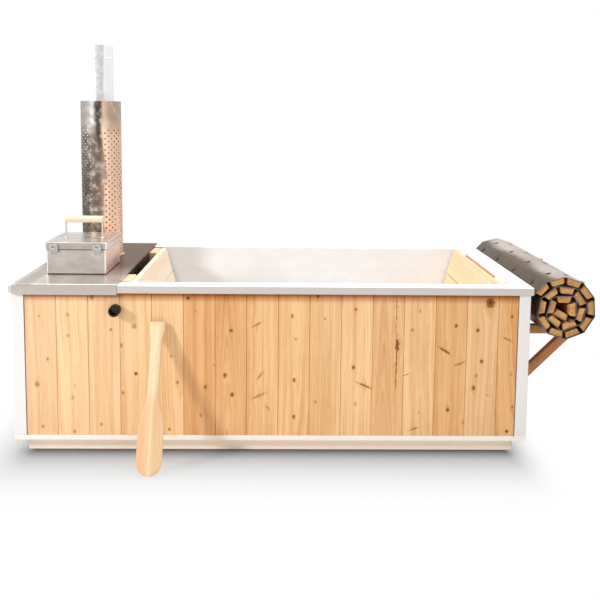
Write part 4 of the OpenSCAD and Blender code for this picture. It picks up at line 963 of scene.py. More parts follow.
def make_slats():
    build = Build()
    rng = random.Random(77)
    half, e = COVER_L / 2 - 6, 1.2
    w, wi, t = SLAT_W / 2 - 0.2, SLAT_WI / 2, SLAT_T
    right = [(w - e, 0), (w - 0.2, -e), (wi + 0.3, -t + e), (wi - e, -t)]
    outline = [(-w + e, 0), *right, *[(-u, v) for u, v in right[:0:-1]]]
    for i in range(SLAT_N):
        u = np.array([-math.sin(TURNS[i]), 0, math.cos(TURNS[i])])
        v = np.array([math.cos(TURNS[i]), 0, math.sin(TURNS[i])])
        mid = v * DISTS[i] + (ROLL_X, 0, ROLL_Z)
        base = (rng.uniform(-0.05, 0.05), rng.uniform(0.006, 0.05), rng.uniform(0, 30))
        turn = rng.uniform(-0.7, 0.7)
        c, s = math.cos(turn), math.sin(turn)
        tone = (rng.uniform(0.88, 1.12), max(0, rng.uniform(-0.2, 0.25)), 0.0)
        shift = rng.uniform(-1.5, 1.5)
        rings, grain = [], []
        for y in (-half, -half + 1.0, *np.linspace(-half + 60, half - 60, 8), half - 1.0, half):
            shrink = 0.96 if abs(y) == half else 1.0
            flat = [(pu * shrink, (pv + t / 2) * shrink - t / 2) for pu, pv in outline]
            rings.append([mid + u * a + v * b + (0, y + shift, 0) for a, b in flat])
            grain += [np.array([a * c - b * s, a * s + b * c, y]) * MM + base for a, b in flat]
        verts, faces = loft(rings)
        build.add(verts, faces, 0, grain, None, tone)
    build.make("roll_slat_set", M_SLAT, "roll_cover", "cedar", ("roll_slats",))


make_slats()


def make_roll_screws():
    """Domed washers with a screw's head in each, dished into the sheet."""
    build = Build()
    profile = [(12.0, 0), (12.0, 0.5), (11.0, 1.1), (8.8, 1.2), (7.2, 0.7), (6.0, 0.7), (5.6, 1.4),
               (4.0, 1.8), (1.8, 1.9), (1.5, 1.1)]
    for i in range(OUTER_TURN, SLAT_N):
        v = Vector((math.cos(TURNS[i]), 0, math.sin(TURNS[i])))
        u = Vector((-v.z, 0, v.x))
        for y in SCREW_Y:
            base = Vector((ROLL_X, y, ROLL_Z)) + v * (DISTS[i] + SKIN - 1.2)
            build.turned(profile, 20, frame_of(base, u, v.cross(u), v))
    build.make("roll_screw_set", M_SCREW, "roll_cover", "dark_screws", ("roll_screws",))


make_roll_screws()


# Stirring paddle
PADDLE_L, BLADE_W, BLADE_L, SHAFT_W, PADDLE_T, PADDLE_REACH = 610.0, 102.0, 330.0, 46.0, 24.0, 262.0


def ease_between(a, b, t):
    return a + (b - a) * (1 - math.cos(math.pi * min(1.0, max(0.0, t)))) / 2


def paddle_half(t):
    """Half the paddle's width at t from its round foot."""
    tip, shaft = BLADE_W / 2, SHAFT_W / 2
    if t < tip:
        return math.sqrt(max(0.0, tip * tip - (tip - t) ** 2))
    if t < PADDLE_L - 90:
        return ease_between(tip, shaft, (t - BLADE_L * 0.55) / (BLADE_L * 0.45))
    return ease_between(shaft, shaft + 9, (t - PADDLE_L + 90) / 70)


def paddle_section(t):
    """Half width, half thickness and squareness of the paddle's cross-section."""
    half = paddle_half(t)
    thick = min(ease_between(6.5, 12.0, (t - 140) / 260), 3.0 + t * 0.30)
    if t > PADDLE_L - 8:
        rounded = 3.2 * (1 - math.sqrt(max(0, 1 - (1 - (PADDLE_L - t) / 8) ** 2)))
        half, thick = half - rounded, thick - rounded
    return half, thick, ease_between(2.2, 3.0, (t - 250) / 120)


def make_paddle():
    """Blade with a ridge along its middle, a painted highlight along the ridge and a warmer colour beside it.
    """
    lean = math.asin(PADDLE_REACH / PADDLE_L)
    foot = (-476.0, -BOARD_Y - 0.3 - PADDLE_REACH, 0.3)
    place = turned(foot, math.radians(1)) @ Matrix.Rotation(-lean, 4, "X")
    ts = [0.6, 2.5, 6, 11, 18, 27, 38, 51, *np.linspace(70, PADDLE_L - 96, 40),
          *np.linspace(PADDLE_L - 90, PADDLE_L - 8, 12), PADDLE_L - 4, PADDLE_L - 1.2, PADDLE_L - 0.2]
    segments = 40
    rings, grain, tones = [], [], []
    for t in ts:
        half, thick, power = paddle_section(t)
        ring = []
        for k in range(segments):
            c, s = math.cos(2 * math.pi * k / segments), math.sin(2 * math.pi * k / segments)
            x = half * math.copysign(abs(c) ** (2 / power), c)
            y = thick * math.copysign(abs(s) ** (2 / power), s)
            ridge = 2.2 * ease_between(1, 0, (t - 200) / 160) * ease_between(0, 1, (t - 60) / 120)
            if abs(y) > 0.5:
                y += math.copysign(ridge * math.exp(-((x / 11.0) ** 2)), y)
            ring.append((x, -PADDLE_T / 2 + y, t))
            grain.append((x * MM - 0.012, y * MM + 0.035 + t * MM * 0.02, t * MM + 3))
            # Painted highlight: the tone is paler and less warm along the ridge.
            painted_ridge_highlight = math.exp(-((x / 6.0) ** 2))
            warm = ease_between(0.34, 0.0, (t - 260) / 100) + 0.2 * ease_between(0, 1, (-x - 8) / 25)
            tones.append((1.0 + 0.09 * painted_ridge_highlight, warm * (1 - 0.7 * painted_ridge_highlight), 0.0))
        rings.append(ring)
    verts, faces = loft(rings)
    build = Build()
    build.add(transform(verts, place), faces, 0, grain, None, tones)
    build.make("paddle_body", M_PINE, "stirring_paddle", "pine", ("paddle",), 60)


make_paddle()


# Heat guard: staggered round holes, with a plain strip at its seam
HOLE_COLS, HOLE_ROWS, HOLE_R, HOLE_PITCH, HOLE_STEPS = 35, 22, 5.2, 26.7, 16
SEAM, SEAM_AT, SEAM_STEPS, GUARD_T = math.radians(34), -math.pi / 2, 6, 1.5


class GuardGrid:
    """The heat guard unrolled: points of (angle, height), plain faces, and a ring of points to each hole."""

    def __init__(self):
        self.points, self.faces, self.holes, self.known = [], [], [], {}

    def point(self, a, z):
        key = (round(a, 6), round(z, 3))
        if key not in self.known:
            self.known[key] = len(self.points)
            self.points.append((a, z))
        return self.known[key]

    def face(self, *corners):
        self.faces.append(tuple(self.point(a, z) for a, z in corners))

    def cell(self, a0, a1, z0, z1):
        """A square of eight points round one hole."""
        a, z = (a0 + a1) / 2, (z0 + z1) / 2
        square = ((a1, z), (a1, z1), (a, z1), (a0, z1), (a0, z), (a0, z0), (a, z0), (a1, z0))
        outer = [self.point(*p) for p in square]
        ring = []
        for k in range(HOLE_STEPS):
            turn = 2 * math.pi * k / HOLE_STEPS
            ring.append(self.point(a + HOLE_R / GUARD_R * math.cos(turn), z + HOLE_R * math.sin(turn)))
        for k in range(8):
            arc = (ring[(2 * k + 2) % HOLE_STEPS], ring[2 * k + 1], ring[2 * k])
            self.faces.append((outer[k], outer[(k + 1) % 8], *arc))
        self.holes.append(ring)


def guard_grid():
    """All cells of the guard, the strip at its seam, and plain bands below and above the holes."""
    grid = GuardGrid()
    step = (2 * math.pi - SEAM) / HOLE_COLS
    first, half = SEAM_AT + SEAM / 2, HOLE_PITCH / 2
    z_low = GUARD_Z0 + 16.0
    z_high = z_low + HOLE_PITCH * HOLE_ROWS
    for c in range(HOLE_COLS):
        a0, a1 = first + c * step, first + (c + 1) * step
        am = (a0 + a1) / 2
        low = z_low + (half if c % 2 else 0.0)
        for r in range(HOLE_ROWS):
            grid.cell(a0, a1, low + r * HOLE_PITCH, low + (r + 1) * HOLE_PITCH)
        spare = (z_low, low) if c % 2 else (z_high, z_high + half)
        for za, zb in (spare, (GUARD_Z0, z_low), (z_high + half, GUARD_Z1)):
            grid.face((a0, za), (am, za), (a1, za), (a1, zb), (am, zb), (a0, zb))
    heights = [GUARD_Z0, *[z_low + k * half for k in range(2 * HOLE_ROWS + 2)], GUARD_Z1]
    for s in range(SEAM_STEPS):
        a0, a1 = [SEAM_AT - SEAM / 2 + k * SEAM / SEAM_STEPS for k in (s, s + 1)]
        if s == 0:
            a0 = first + HOLE_COLS * step
        for z0, z1 in zip(heights, heights[1:]):
            grid.face((a0, z0), (a1, z0), (a1, z1), (a0, z1))
    return grid


def make_guard():
    """The grid rolled up with a thickness; its normals are set, so that it shades smoothly at the holes."""
    grid = guard_grid()
    n = len(grid.points)
    radial = [(math.cos(a), math.sin(a), 0.0) for a, _ in grid.points]
    verts = [(FLUE_X + r * c, FLUE_Y + r * s, z)
             for r in (GUARD_R, GUARD_R - GUARD_T) for (c, s, _), (_, z) in zip(radial, grid.points)]
    faces = grid.faces + [tuple(i + n for i in f)[::-1] for f in grid.faces]
    kinds = ["out"] * len(grid.faces) + ["in"] * len(grid.faces)
    rims = [pair for ring in grid.holes for pair in zip(ring, ring[1:] + ring[:1])]
    faces += [(a, b, b + n, a + n) for a, b in rims]
    edges = dict.fromkeys(pair for f in grid.faces for pair in zip(f, f[1:] + f[:1]))
    holes = set(rims)
    ends = [(a, b) for a, b in edges if (b, a) not in edges and (a, b) not in holes and (b, a) not in holes]
    faces += [(b, a, a + n, b + n) for a, b in ends]
    kinds += ["wall"] * (len(faces) - len(kinds))
    mesh = bpy.data.meshes.new("guard_sheet")
    mesh.from_pydata((np.array(verts) * MM).tolist(), [], faces)
    mesh.update()
    mesh.polygons.foreach_set("use_smooth", [True] * len(mesh.polygons))
    normals = []
    for poly, kind in zip(mesh.polygons, kinds):
        for v in poly.vertices:
            x, y, _ = radial[v % n]
            normals.append({"out": (x, y, 0.0), "in": (-x, -y, 0.0), "wall": tuple(poly.normal)}[kind])
    mesh.normals_split_custom_set(normals)
    mesh.materials.append(M_GUARD)
    mesh.materials.append(M_FLUE)
    mesh.polygons.foreach_set("material_index", [int(kind == "in") for kind in kinds])
    make_piece(mesh, "tub", ("heat_guard",))


make_guard()


# Sheet metal: profiles are folded first and then carried along a path round or across the piece
def fold(points, radius, steps=5):
    """Rounds the inner corners of a line of (out, up) points; each point gets the sheet's outward normal."""
    points = [np.array(p, float) for p in points]
    made = []
    for i, p in enumerate(points):
        if i in (0, len(points) - 1):
            way = points[1] - p if i == 0 else p - points[i - 1]
            way = way / np.linalg.norm(way)
            made.append((*p, way[1], -way[0]))
            continue
        before, after = points[i - 1] - p, points[i + 1] - p
        short = min(np.linalg.norm(before), np.linalg.norm(after))
        a, b = before / np.linalg.norm(before), after / np.linalg.norm(after)
        half = math.acos(max(-1, min(1, float(a @ b)))) / 2
        cut = min(radius / math.tan(half), short * 0.45)
        centre = p + (a + b) / np.linalg.norm(a + b) * (cut / math.cos(half))
        start = p + a * cut - centre
        n0, n1 = (-a[1], a[0]), (b[1], -b[0])
        turn = math.atan2(n0[0] * n1[1] - n0[1] * n1[0], n0[0] * n1[0] + n0[1] * n1[1])
        for k in range(steps + 1):
            c, s = math.cos(turn * k / steps), math.sin(turn * k / steps)
            spin = np.array([[c, -s], [s, c]])
            made.append((*(centre + spin @ start), *(spin @ n0)))
    return made


def split(profile, heights):
    """Adds points to a folded profile where a straight run rises past one of the heights."""
    made = [profile[0]]
    for p, q in zip(profile, profile[1:]):
        for h in heights:
            if p[1] + 0.01 < h < q[1] - 0.01:
                t = (h - p[1]) / (q[1] - p[1])
                made.append(tuple(p[j] + (q[j] - p[j]) * t for j in range(4)))
        made.append(q)
    return made


def folded_sheet(build, path, profile, thick, closed=True, drops=(), circles=(), cap=False):
    """Sheet of one thickness: a profile of (out, height, normal out, normal up) carried along a path.

    The path has points and normals. Cells are numbered (along the path, along the profile). Those in drops
    are left out. A circle is (the cell's two numbers, middle and radii as shares of the cell, point count).
    """
    n, m = len(path), len(profile)
    outer, inner, faces = [], [], []

    def spot(u, v):
        i, j = int(math.floor(u)), int(math.floor(v))
        p, q = np.array(path[i % n]), np.array(path[(i + 1) % n if closed else min(i + 1, n - 1)])
        a, b = np.array(profile[j]), np.array(profile[min(j + 1, m - 1)])
        x, y, nx, ny = p + (q - p) * (u - i)
        d, z, nd, nz = a + (b - a) * (v - j)
        at = np.array([x + nx * d, y + ny * d, z])
        out = np.array([nx * nd, ny * nd, nz])
        outer.append(at)
        inner.append(at - out / max(1e-9, np.linalg.norm(out)) * thick)
        return len(outer) - 1

    grid = [[spot(i, j) for i in range(n)] for j in range(m)]
    holes = {circle[:2]: circle[2:] for circle in circles}
    for j in range(m - 1):
        for i in range(n if closed else n - 1):
            k = (i + 1) % n
            corners = [grid[j][i], grid[j][k], grid[j + 1][k], grid[j + 1][i]]
            if (i, j) in holes:
                fu, fv, ru, rv, count = holes[(i, j)]
                turns = [2 * math.pi * t / count for t in range(count)]
                ring = [spot(i + fu + ru * math.cos(t), j + fv + rv * math.sin(t)) for t in turns]
                for side in range(4):
                    first = count // 8 + side * count // 4
                    arc = [ring[(first + t) % count] for t in range(count // 4 + 1)]
                    faces.append((corners[(side + 2) % 4], corners[(side + 3) % 4], *arc[::-1]))
            elif (i, j) not in drops:
                faces.append(tuple(corners))
    size = len(outer)
    shell = faces + [tuple(i + size for i in f)[::-1] for f in faces]
    edges = {pair for f in faces for pair in zip(f, f[1:] + f[:1])}
    capped = set()
    if cap:
        top = tuple(grid[m - 1])
        shell += [top, tuple(i + size for i in top)[::-1]]
        capped = set(zip(top, top[1:] + top[:1]))
    for a, b in edges:
        if (b, a) not in edges and (a, b) not in capped and (b, a) not in capped:
            shell.append((b, a, a + size, b + size))
    keep = sorted({i for f in shell for i in f})
    number = {old: new for new, old in enumerate(keep)}
    verts = outer + inner
    build.add([verts[i] for i in keep], [tuple(number[i] for i in f) for f in shell])


def rings_solid(build, rings, slot=0):
    """Closed tube of rings, the last joined to the first; slot may be a list of one number to a band."""
    n, m = len(rings[0]), len(rings)
    if isinstance(slot, list):
        slot = [s for s in slot for _ in range(n)]
    build.add([p for ring in rings for p in ring], band_faces(n, m, True), slot)


def ring_at(hx, hy, r, z):
    return [(x, y, z) for x, y, _, _ in round_path(hx, hy, r)]


def make_rim():
    """Rim sheet: a band folded down outside, a rounded edge and a bend down into the tank."""
    build = Build()
    low, edge = TUB_H - RIM_H, 2.4
    outside = [(SHEET, 1.5, TUB_H - SHEET), (SHEET, 1.5, low + 0.7), (SHEET - 0.8, 2.2, low), (0.8, 3.4, low),
               (0.0, 4.0, low + 0.8)]
    for k in range(7):
        a = math.radians(90 * k / 6)
        outside.append((edge * (1 - math.cos(a)), 4.0, TUB_H - edge * (1 - math.sin(a))))
    inside = [(1.2, 0.0), (0.4, 0.35), (0.0, 1.2), (0.0, SHEET)]
    rings = [ring_at(TUB_L / 2 - inset, TUB_W / 2 - inset, r, z) for inset, r, z in outside]
    rings += [ring_at(TANK_X + out, TANK_Y + out, TANK_R + out, TUB_H - down) for out, down in inside]
    # The band down the outside takes the darker copy of the white coat: painted shade.
    rings_solid(build, rings, [1] * 8 + [0] * (len(rings) - 8))
    build.make("rim_sheet", [M_RIM, M_RIM_BAND_SHADED], "tub", "white_coat", ("rim",), 40, True)


def make_channel(name, hx, hy, flange, z0, z1, mat, node):
    """Sheet round the tub, folded to a flange, an upright face and a flange."""
    build = Build()
    profile = fold([(-flange, z0), (0.0, z0), (0.0, z1), (-flange, z1)], 2.0, 4)
    folded_sheet(build, round_path(hx, hy, 2.5, arc=4), profile, SHEET)
    build.make(name, mat, "tub", "white_coat", (node,), 40, True)


def make_posts():
    """Angles on the four corners, with a rounded outer bend."""
    build = Build()
    w, t = POST_W, SHEET
    half = [(-w, -t + 0.5), (-w + 0.4, -0.1), (-w + 1.0, 0.0), (-3.2, 0.0), (-1.9, -0.28)]
    outline = [(-w + 0.5, -t), (-t, -t), (-t, -w + 0.5)]
    outline += [*[(y, x) for x, y in half], (-0.85, -0.85), *half[::-1]]
    for k, (sx, sy) in enumerate(((1, 1), (-1, 1), (-1, -1), (1, -1))):
        c, s = round(math.cos(math.pi / 2 * k)), round(math.sin(math.pi / 2 * k))
        corner = [(sx * POST_X + x * c - y * s, sy * POST_Y + x * s + y * c) for x, y in outline]
        build.add(*loft([[(x, y, z) for x, y in corner] for z in (FIELD_Z0, TUB_H - SHEET)]))
    build.make("post_angles", M_POST, "tub", "white_coat", ("corner_posts",), 40, True)


def make_counter():
    """Sheet folded down at front and back, with openings for hatch and flue and a lip beside the bath."""
    build = Build()
    z, hy, hole = COUNTER_Z, COUNTER_Y, FLUE_R + 2.0
    open_x, open_y, beside, around = 113.0, 161.0, 75.0, 90.0
    # The cells' edges lie on the hatch opening and evenly round the flue
    xs = [COUNTER_X0, COUNTER_X0 + 40, HATCH_X - open_x, HATCH_X - beside, HATCH_X + beside,
          HATCH_X + open_x, COUNTER_X1 - 50, COUNTER_X1]
    ys = [-560.0, -470.0, HATCH_Y - open_y, HATCH_Y + open_y, 40.0, FLUE_Y - around, FLUE_Y + around,
          400.0, 560.0]
    profile = fold([(hy, z - APRON), (hy, z), (-hy, z), (-hy, z - APRON)], 4.0, 6)
    flat = [i for i, p in enumerate(profile) if abs(p[1] - z) < 0.01]
    first, last = flat[0], flat[-1]
    rows = profile[:first + 1] + [(-y, z, 0.0, 1.0) for y in ys] + profile[last:]
    hatch_row, flue_row = [first + 1 + ys.index(y) for y in (HATCH_Y - open_y, FLUE_Y - around)]
    wide, deep = 2 * beside, 2 * around
    flue = (3, flue_row, (FLUE_X - xs[3]) / wide, 0.5, hole / wide, hole / deep, 48)
    path = [(x, 0.0, 0.0, -1.0) for x in xs]
    folded_sheet(build, path, rows, 2.5, False, {(i, hatch_row) for i in range(2, 5)}, [flue])
    lip = fold([(COUNTER_X1, z - 30), (COUNTER_X1, z - 0.05), (COUNTER_X1 - 40.0, z - 0.05)], 3.0, 4)
    lip_path = [(0.0, y, 1.0, 0.0) for y in (-516.0, 0.0, 516.0)]
    folded_sheet(build, lip_path, [(out, up, -n_out, -n_up) for out, up, n_out, n_up in lip], 2.5, False)
    build.make("counter_sheet", M_COUNTER, "tub", "brushed_steel", ("counter",), 40, True)


def make_hatch_box():
    """Fuel box folded in at top and bottom, with three round air holes in its left wall."""
    build = Build()
    profile = fold([(-14.0, BOX_Z0), (0.0, BOX_Z0), (0.0, BOX_Z1), (-14.0, BOX_Z1)], 2.2, 4)
    profile = split(profile, (AIR_Z0, AIR_Z1))
    row = [i for i, p in enumerate(profile) if abs(p[1] - AIR_Z0) < 0.01][0]
    path = []
    for p in round_path(BOX_HX, BOX_HY, 7.0, (HATCH_X, HATCH_Y)):
        if path and p[1] < path[-1][1] - 100:
            start = len(path)
            path += [(p[0], HATCH_Y + AIR_PITCH * k, *p[2:]) for k in (1.5, 0.5, -0.5, -1.5)]
        path.append(p)
    shares = (AIR_R / AIR_PITCH, AIR_R / (AIR_Z1 - AIR_Z0))
    holes = [(start + k, row, 0.5, 0.5, *shares, 24) for k in range(3)]
    folded_sheet(build, path, profile, 2.0, circles=holes)
    build.make("hatch_body", M_BOX, "tub", "brushed_steel", ("hatch_box",), 40, True)


def make_hatch_lid():
    """Lid with a rolled lower edge and two hinge barrels on leaves at its back."""
    build = Build()
    path = round_path(LID_HX, LID_HY, 5.0, (HATCH_X, LID_Y), arc=5)
    profile = fold([(0.0, LID_Z0 + 4.0), (0.0, LID_Z1), (-4.8, LID_Z1)], 3.0, 6)
    folded_sheet(build, path, profile, 2.0, cap=True)
    lip = [(0.0, 4.6), (1.3, 4.2), (2.0, 3.2), (2.0, 0.8), (1.3, 0.0), (-1.6, 0.0), (-2.0, 0.6), (-2.0, 4.6)]
    rings = [[(x + nx * d, y + ny * d, LID_Z0 + up) for x, y, nx, ny in path] for d, up in lip[::-1]]
    rings_solid(build, rings)
    pin_y, pin_z, knuckle = -19.0, 814.3, 39.4
    for middle in (-40.0, 40.0):
        left = HATCH_X + middle - 19.7
        barrel = [(4.4, 0.0), (5.0, 0.6), (5.0, knuckle - 0.6), (4.4, knuckle)]
        build.turned(barrel, 20, turned((left, pin_y, pin_z)))
        bar(build, (left, pin_y - 5.1, pin_z), (left + knuckle, pin_y - 3.0, LID_Z1 - 4.3), 0.5)
    build.make("lid_sheet", M_LID, "lid", "brushed_steel", ("hatch_lid",), 35, True)


def make_flue():
    """Flue pipe with a raised bead near its top, and the trim flange round it on the counter."""
    r, z, above, t = FLUE_R, COUNTER_Z, 1657.5, 1.5
    bead = [(-5.5, 0.0), (-2.5, 0.6), (-0.9, 1.4), (0.0, 1.5), (0.9, 1.4), (2.5, 0.6), (5.5, 0.0)]
    outer = [(r - 0.4, FLUE_Z0), (r, FLUE_Z0 + 0.4), (r, 900), (r, 1300)]
    outer += [(r + out, above + up) for up, out in bead] + [(r, FLUE_Z1 - 0.6), (r - 0.4, FLUE_Z1)]
    inner = [(r - t + 0.4, FLUE_Z1), (r - t, FLUE_Z1 - 0.6), (r - t, 1300), (r - t, 900),
             (r - t, FLUE_Z0 + 0.4), (r - t + 0.4, FLUE_Z0)]
    flange = [(r + 0.3, z + 0.1), (104.0, z), (104.0, z + 1.2), (103.4, z + 2.2), (102.0, z + 3.0),
              (72.0, z + 3.0), (69.6, z + 3.6), (68.3, z + 5.4), (68.0, z + 8.0), (68.0, z + 15.0),
              (67.2, z + 16.0), (r + 1.0, z + 16.0), (r + 0.3, z + 15.2)]
    middle = Matrix.Translation((FLUE_X, FLUE_Y, 0))
    pipe, collar = Build(), Build()
    pipe.turned(outer + inner, 80, middle, True)
    collar.turned(flange, 72, middle, True)
    pipe.make("flue_tube", M_FLUE, "tub", "flue_steel", ("flue_pipe",), 35, True)
    collar.make("flue_collar", M_STEEL_X, "tub", "brushed_steel", ("flue_flange",), 35, True)


def make_clasp(side, x):
    """Pressed clasp, drawn 8 degrees open: barrel, slotted plate with a raised middle, rolled pull edge."""
    local = Build()
    pivot_y, pivot_z, half, reach, ajar = -388.0, 799.3, 18.0, 44.0, math.radians(8)
    y, z = pivot_y - 5.0, pivot_z
    barrel = [(3.4, 0), (4.0, 0.6), (4.0, 2 * half - 9.6), (3.4, 2 * half - 9)]
    local.turned(barrel, 18, turned((x - half + 4.5, pivot_y, z)))
    bar(local, (x - half + 4.5, y, z - 1), (x + half - 4.5, y + 2, z + 9), 0.6)
    bar(local, (x - half, y, z + 8), (x + half, y + 2, z + 30), 0.6)
    for a, b in ((-half, -6), (6, half)):
        bar(local, (x + a, y, z + 29.5), (x + b, y + 2, z + reach), 0.6)
    bar(local, (x - half, y, z + 41.5), (x + half, y + 2, z + reach), 0.6)
    bar(local, (x - half + 4, y - 7, z + reach - 2), (x + half - 4, y + 1, z + reach), 0.6)
    bar(local, (x - 10, y - 1.2, z + 12), (x + 10, y + 0.5, z + 26), 1.0)
    build = Build()
    place = turned((0, pivot_y, pivot_z), ajar, "X") @ Matrix.Translation((0, -pivot_y, -pivot_z))
    build.add(transform(local.verts, place), local.faces)
    build.make(f"clasp_{side}_plate", M_CLASP, side + "_clasp", "brushed_steel", (f"clasp_{side}",), 35, True)


def make_spout():
    """Black screwed fitting: ribbed collar, rounded mouth, a stepped pipe behind and a small cross inside."""
    build = Build()
    # Middle of the mouth
    x, y, z = COUNTER_X1 - 7.0, -BOARD_Y - 46.0, TUB_H - 100.0
    # Radius, distance behind the mouth, depth of the ribs
    profile = [(16.0, 0.6, 0), (17.0, 0.0, 0), (20.6, 0.0, 0), (22.0, 0.7, 0), (22.8, 2.0, 0.3),
               (23.0, 4.0, 1.5), (23.0, 24.0, 1.5), (22.6, 27.0, 0.4), (21.4, 29.0, 0), (21.4, 31.0, 0),
               (23.0, 32.0, 0), (23.0, 40.4, 0), (22.0, 40.6, 0), (22.0, 119.5, 0), (19.0, 119.7, 0),
               (19.0, 142.4, 0), (16.0, 142.5, 0)]
    rings = []
    for radius, along, deep in profile:
        ring = []
        for a in np.linspace(0, 2 * math.pi, 96, endpoint=False):
            r = radius - deep * max(0.0, math.cos(a * 10)) ** 2
            ring.append((x + r * math.cos(a), y + along, z + r * math.sin(a)))
        rings.append(ring)
    rings_solid(build, rings[::-1])
    for angle in (0.0, math.pi / 2):
        local = Build()
        bar(local, (-16.2, 14.0, -1.4), (16.2, 17.0, 1.4), 0.5, along=0)
        build.add(transform(local.verts, turned((x, y, z), angle)), local.faces)
    build.make("spout_body", M_PLASTIC, "tub", "black_plastic", ("overflow_spout",), 35)


def add_brace(build, side, y0, y1):
    """Diagonal between leg and arm, cut flat against both."""
    x0, z0 = LEG_X0 + TIMBER, ARM_Z - TIMBER
    reach = ARM_X1 - TIMBER - x0
    cut = TIMBER * math.sqrt(2)
    a, b = np.array([x0, z0 - reach]), np.array([x0 + reach, z0])
    c, d = np.array([x0 + reach - cut, z0]), np.array([x0, z0 - reach + cut])
    way, across = np.array([1, 1]) / math.sqrt(2), np.array([-1, 1]) / math.sqrt(2)
    ease, small = 2.0, 0.6
    rings, grain = [], []
    for t in np.linspace(0, 1, 14):
        p, q = a + (b - a) * t, d + (c - d) * t
        w = float(np.linalg.norm(q - p))
        ring = []
        for u, y in ((ease, y0), (w - ease, y0), (w - small, y0 + small), (w, y0 + ease), (w, y1 - ease),
                     (w - small, y1 - small), (w - ease, y1), (ease, y1), (small, y1 - small), (0, y1 - ease),
                     (0, y0 + ease), (small, y0 + small)):
            g = p + (q - p) / w * u
            ring.append((g[0], y, g[1]))
            off = (float((g - a) @ across), y - y0, float((g - a) @ way))
            grain.append((off[0] * MM + 0.015 * side, off[1] * MM + 0.03, off[2] * MM + 5 * side))
        rings.append(ring)
    verts, faces = loft(rings)
    build.add(verts, [f[::-1] for f in faces], 0, grain, None, (1.1, 0, 0))


def make_cradle():
    """Two brackets that carry the roll: leg, arm, stop and brace of reddish timber, bolts in the legs."""
    legs, arms, stops, braces, bolts = [Build() for _ in range(5)]
    bolt = [(9.0, 0.0), (9.0, 1.0), (8.4, 1.4), (6.0, 1.5), (6.0, 4.4), (5.2, 5.0)]
    x0, x1 = LEG_X0 + TIMBER, ARM_X1 - TIMBER
    for side in (-1, 1):
        y0, y1 = side * BRACKET_Y - TIMBER / 2, side * BRACKET_Y + TIMBER / 2
        bar(legs, (LEG_X0, y0, LEG_Z), (x0, y1, ARM_Z), 2.2, (0.95, 0, 0), 20 + side, steps=14)
        bar(arms, (x0, y0, ARM_Z - TIMBER), (ARM_X1, y1, ARM_Z), 2.2, (1, 0, 0), 30 + side, 0, 12)
        bar(stops, (x1, y0, ARM_Z), (ARM_X1, y1, TUB_H - 20), 2.2, (1.05, 0, 0), 40 + side, steps=10)
        add_brace(braces, side, y0, y1)
        for z in (LEG_Z + TIMBER * 0.65, ARM_Z - TIMBER * 2.5):
            bolts.turned(bolt, 24, turned((x0, side * BRACKET_Y, z)))
    for what, build in (("leg", legs), ("arm", arms), ("stop", stops), ("brace", braces)):
        build.make(f"cradle_{what}_pair", M_RED, "tub", "red_cedar", (f"cradle_{what}s",), 35)
    bolts.make("cradle_bolt_heads", M_STEEL_Z, "tub", "brushed_steel", ("cradle_bolts",), 35, True)


def make_rest_hooks():
    """Blocks behind the right backrest, each with a flat hook over the rim, and a reddish strip between them
    that stands in for the shadow in the gap below the rim.
    """
    build = Build()
    # The outline goes up the block's back, out over the rim to x2, and back along the hook to x1
    top, hook, w = TUB_H - 3.0, TUB_H + 6.0, 8.0
    x0, x1, x2 = TANK_X, 974.0, 1002.0
    outline = [(x0, top - 45), (x0, TUB_H - 0.1), (x0 + 0.2, TUB_H), (x2 - 1.5, TUB_H), (x2, TUB_H + 1.5),
               (x2, hook - 2.5), (x2 - 0.8, hook - 0.8), (x2 - 2.5, hook), (x1 + 1.5, hook),
               (x1 + 0.4, hook - 0.4), (x1, hook - 1.5), (x1, top - 1), (x0 - w, top - 1),
               (x0 - w - 45.0 * math.tan(LEAN), top - 45)]
    for side in (-1, 1):
        ya, yb = sorted((side * 490.0, side * 322.0))
        rings, grain = [], []
        for y in (ya, ya + 1.5, *np.linspace(ya + 12, yb - 12, 8), yb - 1.5, yb):
            k, lift = (0.95, 0.85) if y in (ya, yb) else (1.0, 1.0)
            ring = []
            for x, z in outline:
                x = x0 + 4 + (x - x0 - 4) * k if x > x0 - 1 else x
                z = TUB_H + (z - TUB_H) * lift if z >= TUB_H + 0.5 else z
                ring.append((x, y, z))
                grain.append(((x - x0) * MM + 0.02 * side, (z - top) * MM + 0.03, y * MM + 8))
            rings.append(ring)
        verts, faces = loft(rings)
        build.add(verts, faces, 0, grain, None, (1.02, 0.05, 0.1))
    # A reddish bar where the gap between backrest and rim shows shade: a painted shadow made as a part.
    strip = Build()
    bar(strip, (970.4, -321.0, 688.0), (976.5, 321.0, 699.5), 0.8, (1.0, 0.15, 0), 5, 1)
    strip.make("rest_gap_shadow_strip", M_RED, "tub", "red_cedar", (), 40)
    build.make("rest_hooks", M_HOOK, "tub", "pine", ("rest_blocks",), 40)


